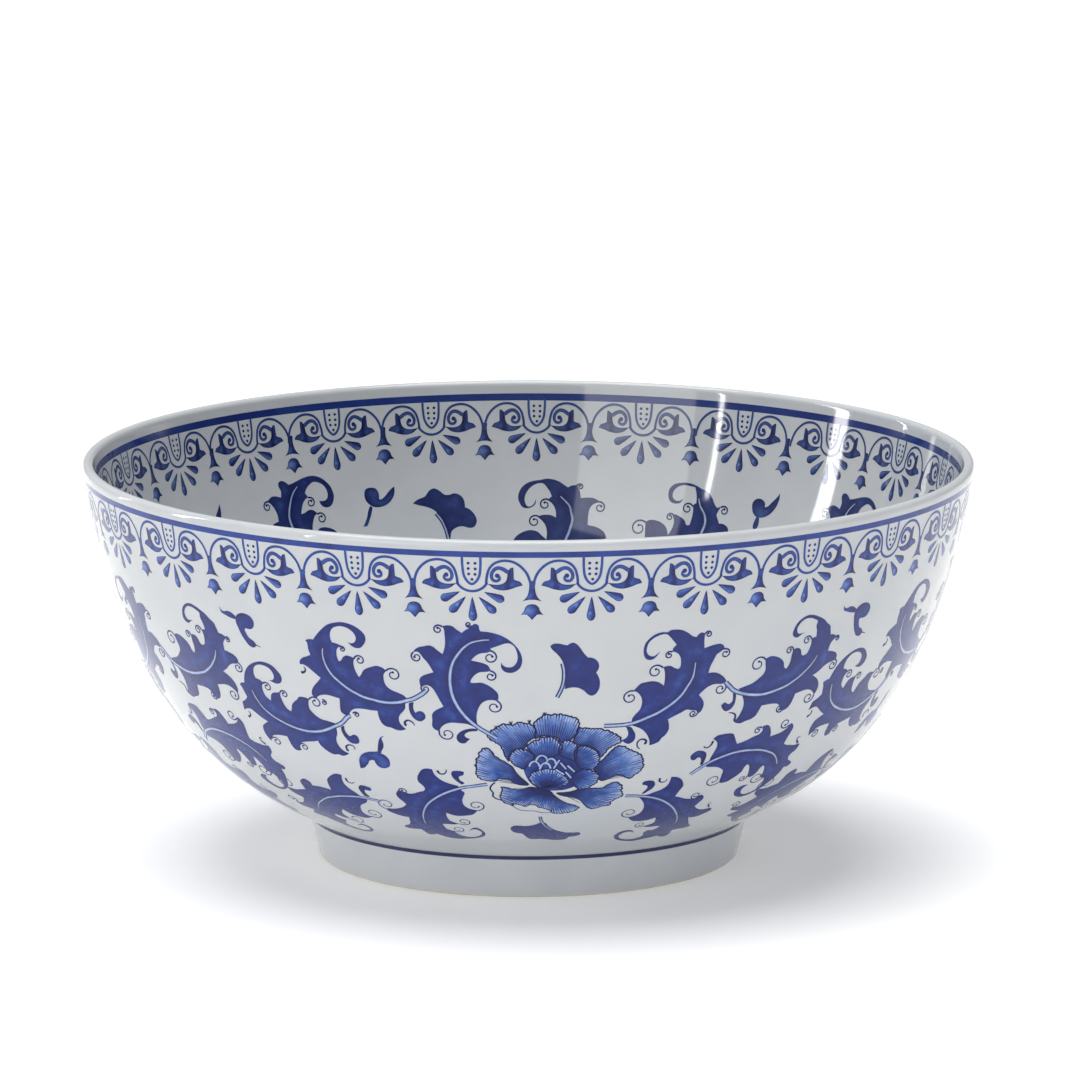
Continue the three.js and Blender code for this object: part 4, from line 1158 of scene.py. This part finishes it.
def make_clay():
    spigot = FOOT_INNER_AT_CEILING - CLEARANCE
    body = np.concatenate([
        [[0, RECESS_CEILING], [spigot, RECESS_CEILING], [spigot, FOOT_HEIGHT]],
        along(outer_skin, WALL_LENGTH, 0, BODY_BED),
        lip_arc(BODY_BED),
        along(inner_skin, 0, WALL_LENGTH, BODY_BED),
        well_curve(BODY_BED)])
    revolve("bowl_body", body, BISCUIT, "porcelain_body")
    outer = foot_side(True, FOOT_EDGE_ROUNDING, FOOT_TOP, BODY_BED)
    inner = foot_side(False, FOOT_EDGE_ROUNDING, FOOT_TOP, BODY_BED)
    foot = np.concatenate([foot_corner(outer[0, 0], 1), outer[1:],
                           inner[1:], foot_corner(inner[0, 0], -1)[::-1]])
    revolve("foot_ring_body", foot, BISCUIT, "foot_ring")


def make_coats():
    outside = wall_coat(outer_skin, OUTER_LINE_END, WALL_LENGTH)
    revolve("outside_glaze", outside, GLAZE, "outer_glaze")
    revolve("lip_coat", coat(lip_shell(0), lip_shell(COAT)), GLAZE, "lip_glaze")
    revolve("inside_glaze", coat(inner_shell(0), inner_shell(COAT)), GLAZE, "inner_glaze")

    line_low = FOOT_HEIGHT - FOOT_LINE_HEIGHT
    # The foot's coat takes the lighter copy of the glaze, whose colour holds painted light.
    revolve("foot_coat", foot_coat(FOOT_EDGE_ROUNDING, line_low), FOOT_GLAZE_PAINTED_LIGHT, "foot_glaze")
    revolve("foot_painted_line", foot_coat(line_low, FOOT_TOP), FOOT_LINE, "foot_line")
    ceiling = RECESS_CEILING - SEAM
    face = foot_side(False, ceiling - COAT, FOOT_EDGE_ROUNDING, -COAT)
    back = foot_side(False, ceiling, FOOT_EDGE_ROUNDING, 0)
    recess = np.concatenate([[[0, ceiling - COAT]], face, back[::-1], [[0, ceiling]]])
    revolve("recess_coat", recess, GLAZE, "recess_glaze")

    outer_line = wall_coat(outer_skin, OUTER_LINE_START, OUTER_LINE_END, LINE_STATIONS)
    revolve("outer_painted_line", outer_line, RIM_LINE, "outer_rim_line")
    inner_line = wall_coat(inner_skin, INNER_LINE_START, INNER_LINE_END, LINE_STATIONS)
    revolve("inner_painted_line", inner_line, INNER_LINE, "inner_rim_line")


# ---------------------------------------------------------------- Laying the painting
OUTER_BORDER_START = 22.4
INNER_BORDER_START = 5.4
INNER_BORDER_DRIFT = -2.4
INNER_BORDER_DROP = 2.3


def lay_borders():
    border = border_repeat()
    for k in range(BORDER_REPEATS):
        border.piece(f"outer_border_{k:02d}", OUTSIDE, OUTER_BORDER_START + k * BORDER_PITCH)
        place = INNER_BORDER_START + k * BORDER_PITCH
        drift = INNER_BORDER_DRIFT * math.cos(2 * place / CHART)
        border.piece(f"inner_border_{k:02d}", INSIDE, place + drift, INNER_BORDER_DROP)


def lay_motifs():
    outside = {f"leaf_{name}": leaf(LEAF_OUTLINES[name], LEAF_VEINS[name], LEAF_BUDS.get(name, ""),
                                    LEAF_CURLS.get(name, ""), LEAF_STROKES.get(name, ""))
               for name in LEAF_OUTLINES}
    outside["peony"] = peony()
    outside["sprig_high"] = sprig(HIGH_SPRIG, HIGH_SPRIG_TAIL)
    outside["sprig_low"] = sprig(LOW_SPRIG)
    outside["fan_high"] = fan(*HIGH_FAN)
    outside["fan_low"] = fan(*LOW_FAN)
    inner = {f"inner_leaf_{name}": leaf(*parts) for name, parts in INNER_LEAVES.items()}
    inner["inner_sprig_a"] = sprig(INNER_SPRIG_A)
    inner["inner_sprig_b"] = sprig(INNER_SPRIG_B)
    inner["inner_fan"] = fan(*INNER_FAN)
    for quarter in range(MAIN_REPEATS):
        for name, painting in outside.items():
            painting.piece(f"{name}_{quarter}", OUTSIDE, quarter * MAIN_PITCH)
        for name, painting in inner.items():
            painting.piece(f"{name}_{quarter}", INSIDE, quarter * MAIN_PITCH)


# ---------------------------------------------------------------- Studio
AIM = Vector((4.6, 0.0, 127.0)) * MM
CAMERA_ELEVATION = 0.192
CAMERA_DISTANCE = 3.56
LENS, SENSOR_WIDTH = 297.1, 36.0
FARTHEST_SEEN = 50.0

FLOOR_HALF = 12.0
FLOOR_DROP = 0.0002
FLOOR_ROUGHNESS = 0.9
FLOOR_COLOUR = (0.93, 0.93, 0.93, 1)
FLOOR_GLOW = 0.24

AIR_COLOUR = (1.0, 1.0, 0.99, 1)
# The air of the studio: bright near the horizon, dimmer overhead
SKY_FADE = (0.0, 0.8, 0.34, 0.62)
# A thin white band where the air meets the floor
HORIZON_BAND = (0.035, 0.05, 1.05, 0.0)
# Part of the air's light that is lost on the right, where the studio is darker, and where that sets in
RIGHT_LOSS = 0.8
RIGHT_SPAN = (-0.1, 0.8)

SUN_STRENGTH = 2.6
SUN_SPREAD = math.radians(50)
SUN_PLACE = (-0.1, 0.05, 1.8)
SOFTBOX_TARGET = (0, 0, 0.12)
# Softboxes: name, bearing in degrees from the camera's side towards the left, distance, height of the middle,
# width, height, power, and whether they light the piece or are only mirrored in its gloss
SOFTBOXES = (("soft_key", 50.0, 3.4, 1.4, 2.6, 2.6, 8, "light"),
             ("key_panel", 31.8, 3.0, 1.0, 1.75, 2.0, 34, "mirrored"),
             ("thin_strip", 56.0, 2.6, 0.55, 0.06, 1.2, 6, "mirrored"),
             ("broad_strip", 96.5, 2.6, 0.75, 0.24, 1.7, 22, "mirrored"),
             ("back_strip", 124.0, 2.6, 0.5, 0.05, 1.0, 4, "mirrored"))


def aimed(thing, place, target):
    thing.location = place
    thing.rotation_euler = (Vector(target) - Vector(place)).to_track_quat("-Z", "Y").to_euler()
    bpy.context.scene.collection.objects.link(thing)
    return thing


def make_camera():
    camera = bpy.data.cameras.new("camera")
    camera.lens, camera.sensor_width, camera.clip_end = LENS, SENSOR_WIDTH, FARTHEST_SEEN
    back = Vector((0, -math.cos(CAMERA_ELEVATION), math.sin(CAMERA_ELEVATION))) * CAMERA_DISTANCE
    bpy.context.scene.camera = aimed(bpy.data.objects.new("camera", camera), AIM + back, AIM)


def make_floor():
    corners = [(x * FLOOR_HALF, y * FLOOR_HALF, 0) for x, y in ((-1, -1), (1, -1), (1, 1), (-1, 1))]
    mesh = bpy.data.meshes.new("floor")
    mesh.from_pydata(corners, [], [(0, 1, 2, 3)])
    floor = bpy.data.objects.new("floor", mesh)
    floor.location.z = -FLOOR_DROP
    bpy.context.scene.collection.objects.link(floor)
    paper, _, _, principled = shader("white_paper", FLOOR_ROUGHNESS)
    principled.inputs["Base Color"].default_value = FLOOR_COLOUR
    principled.inputs["Specular IOR Level"].default_value = 0.0
    principled.inputs["Emission Color"].default_value = (1, 1, 1, 1)
    principled.inputs["Emission Strength"].default_value = FLOOR_GLOW
    mesh.materials.append(paper)


def make_air():
    world = bpy.data.worlds.new("studio_air")
    world.use_nodes = True
    nodes, links = world.node_tree.nodes, world.node_tree.links
    direction = nodes.new("ShaderNodeTexCoord")
    split = nodes.new("ShaderNodeSeparateXYZ")
    links.new(direction.outputs["Generated"], split.inputs[0])
    fade = range_node(nodes, links, split.outputs["Z"], SKY_FADE)
    kept = range_node(nodes, links, split.outputs["X"], (*RIGHT_SPAN, 1.0, 1.0 - RIGHT_LOSS), "SMOOTHSTEP")
    horizon = range_node(nodes, links, split.outputs["Z"], HORIZON_BAND)
    air = math_node(nodes, links, "MULTIPLY", fade, kept)
    background = nodes["Background"]
    links.new(math_node(nodes, links, "MAXIMUM", air, horizon), background.inputs["Strength"])
    background.inputs["Color"].default_value = AIR_COLOUR
    bpy.context.scene.world = world
    bpy.context.scene.view_settings.view_transform = "Standard"


def make_lights():
    sun = bpy.data.lights.new("overhead", "SUN")
    sun.energy, sun.angle = SUN_STRENGTH, SUN_SPREAD
    aimed(bpy.data.objects.new("overhead", sun), SUN_PLACE, (0, 0, 0))
    for name, bearing, distance, middle, width, height, power, use in SOFTBOXES:
        light = bpy.data.lights.new(name, "AREA")
        light.shape = "RECTANGLE"
        light.size, light.size_y = width, height
        light.energy = power
        angle = math.radians(bearing)
        place = (-distance * math.sin(angle), -distance * math.cos(angle), middle)
        box = aimed(bpy.data.objects.new(name, light), place, SOFTBOX_TARGET)
        box.visible_diffuse = use == "light"
        box.visible_glossy = use == "mirrored"


make_camera()
make_floor()
make_air()
make_lights()
make_clay()
make_coats()
lay_borders()
lay_motifs()
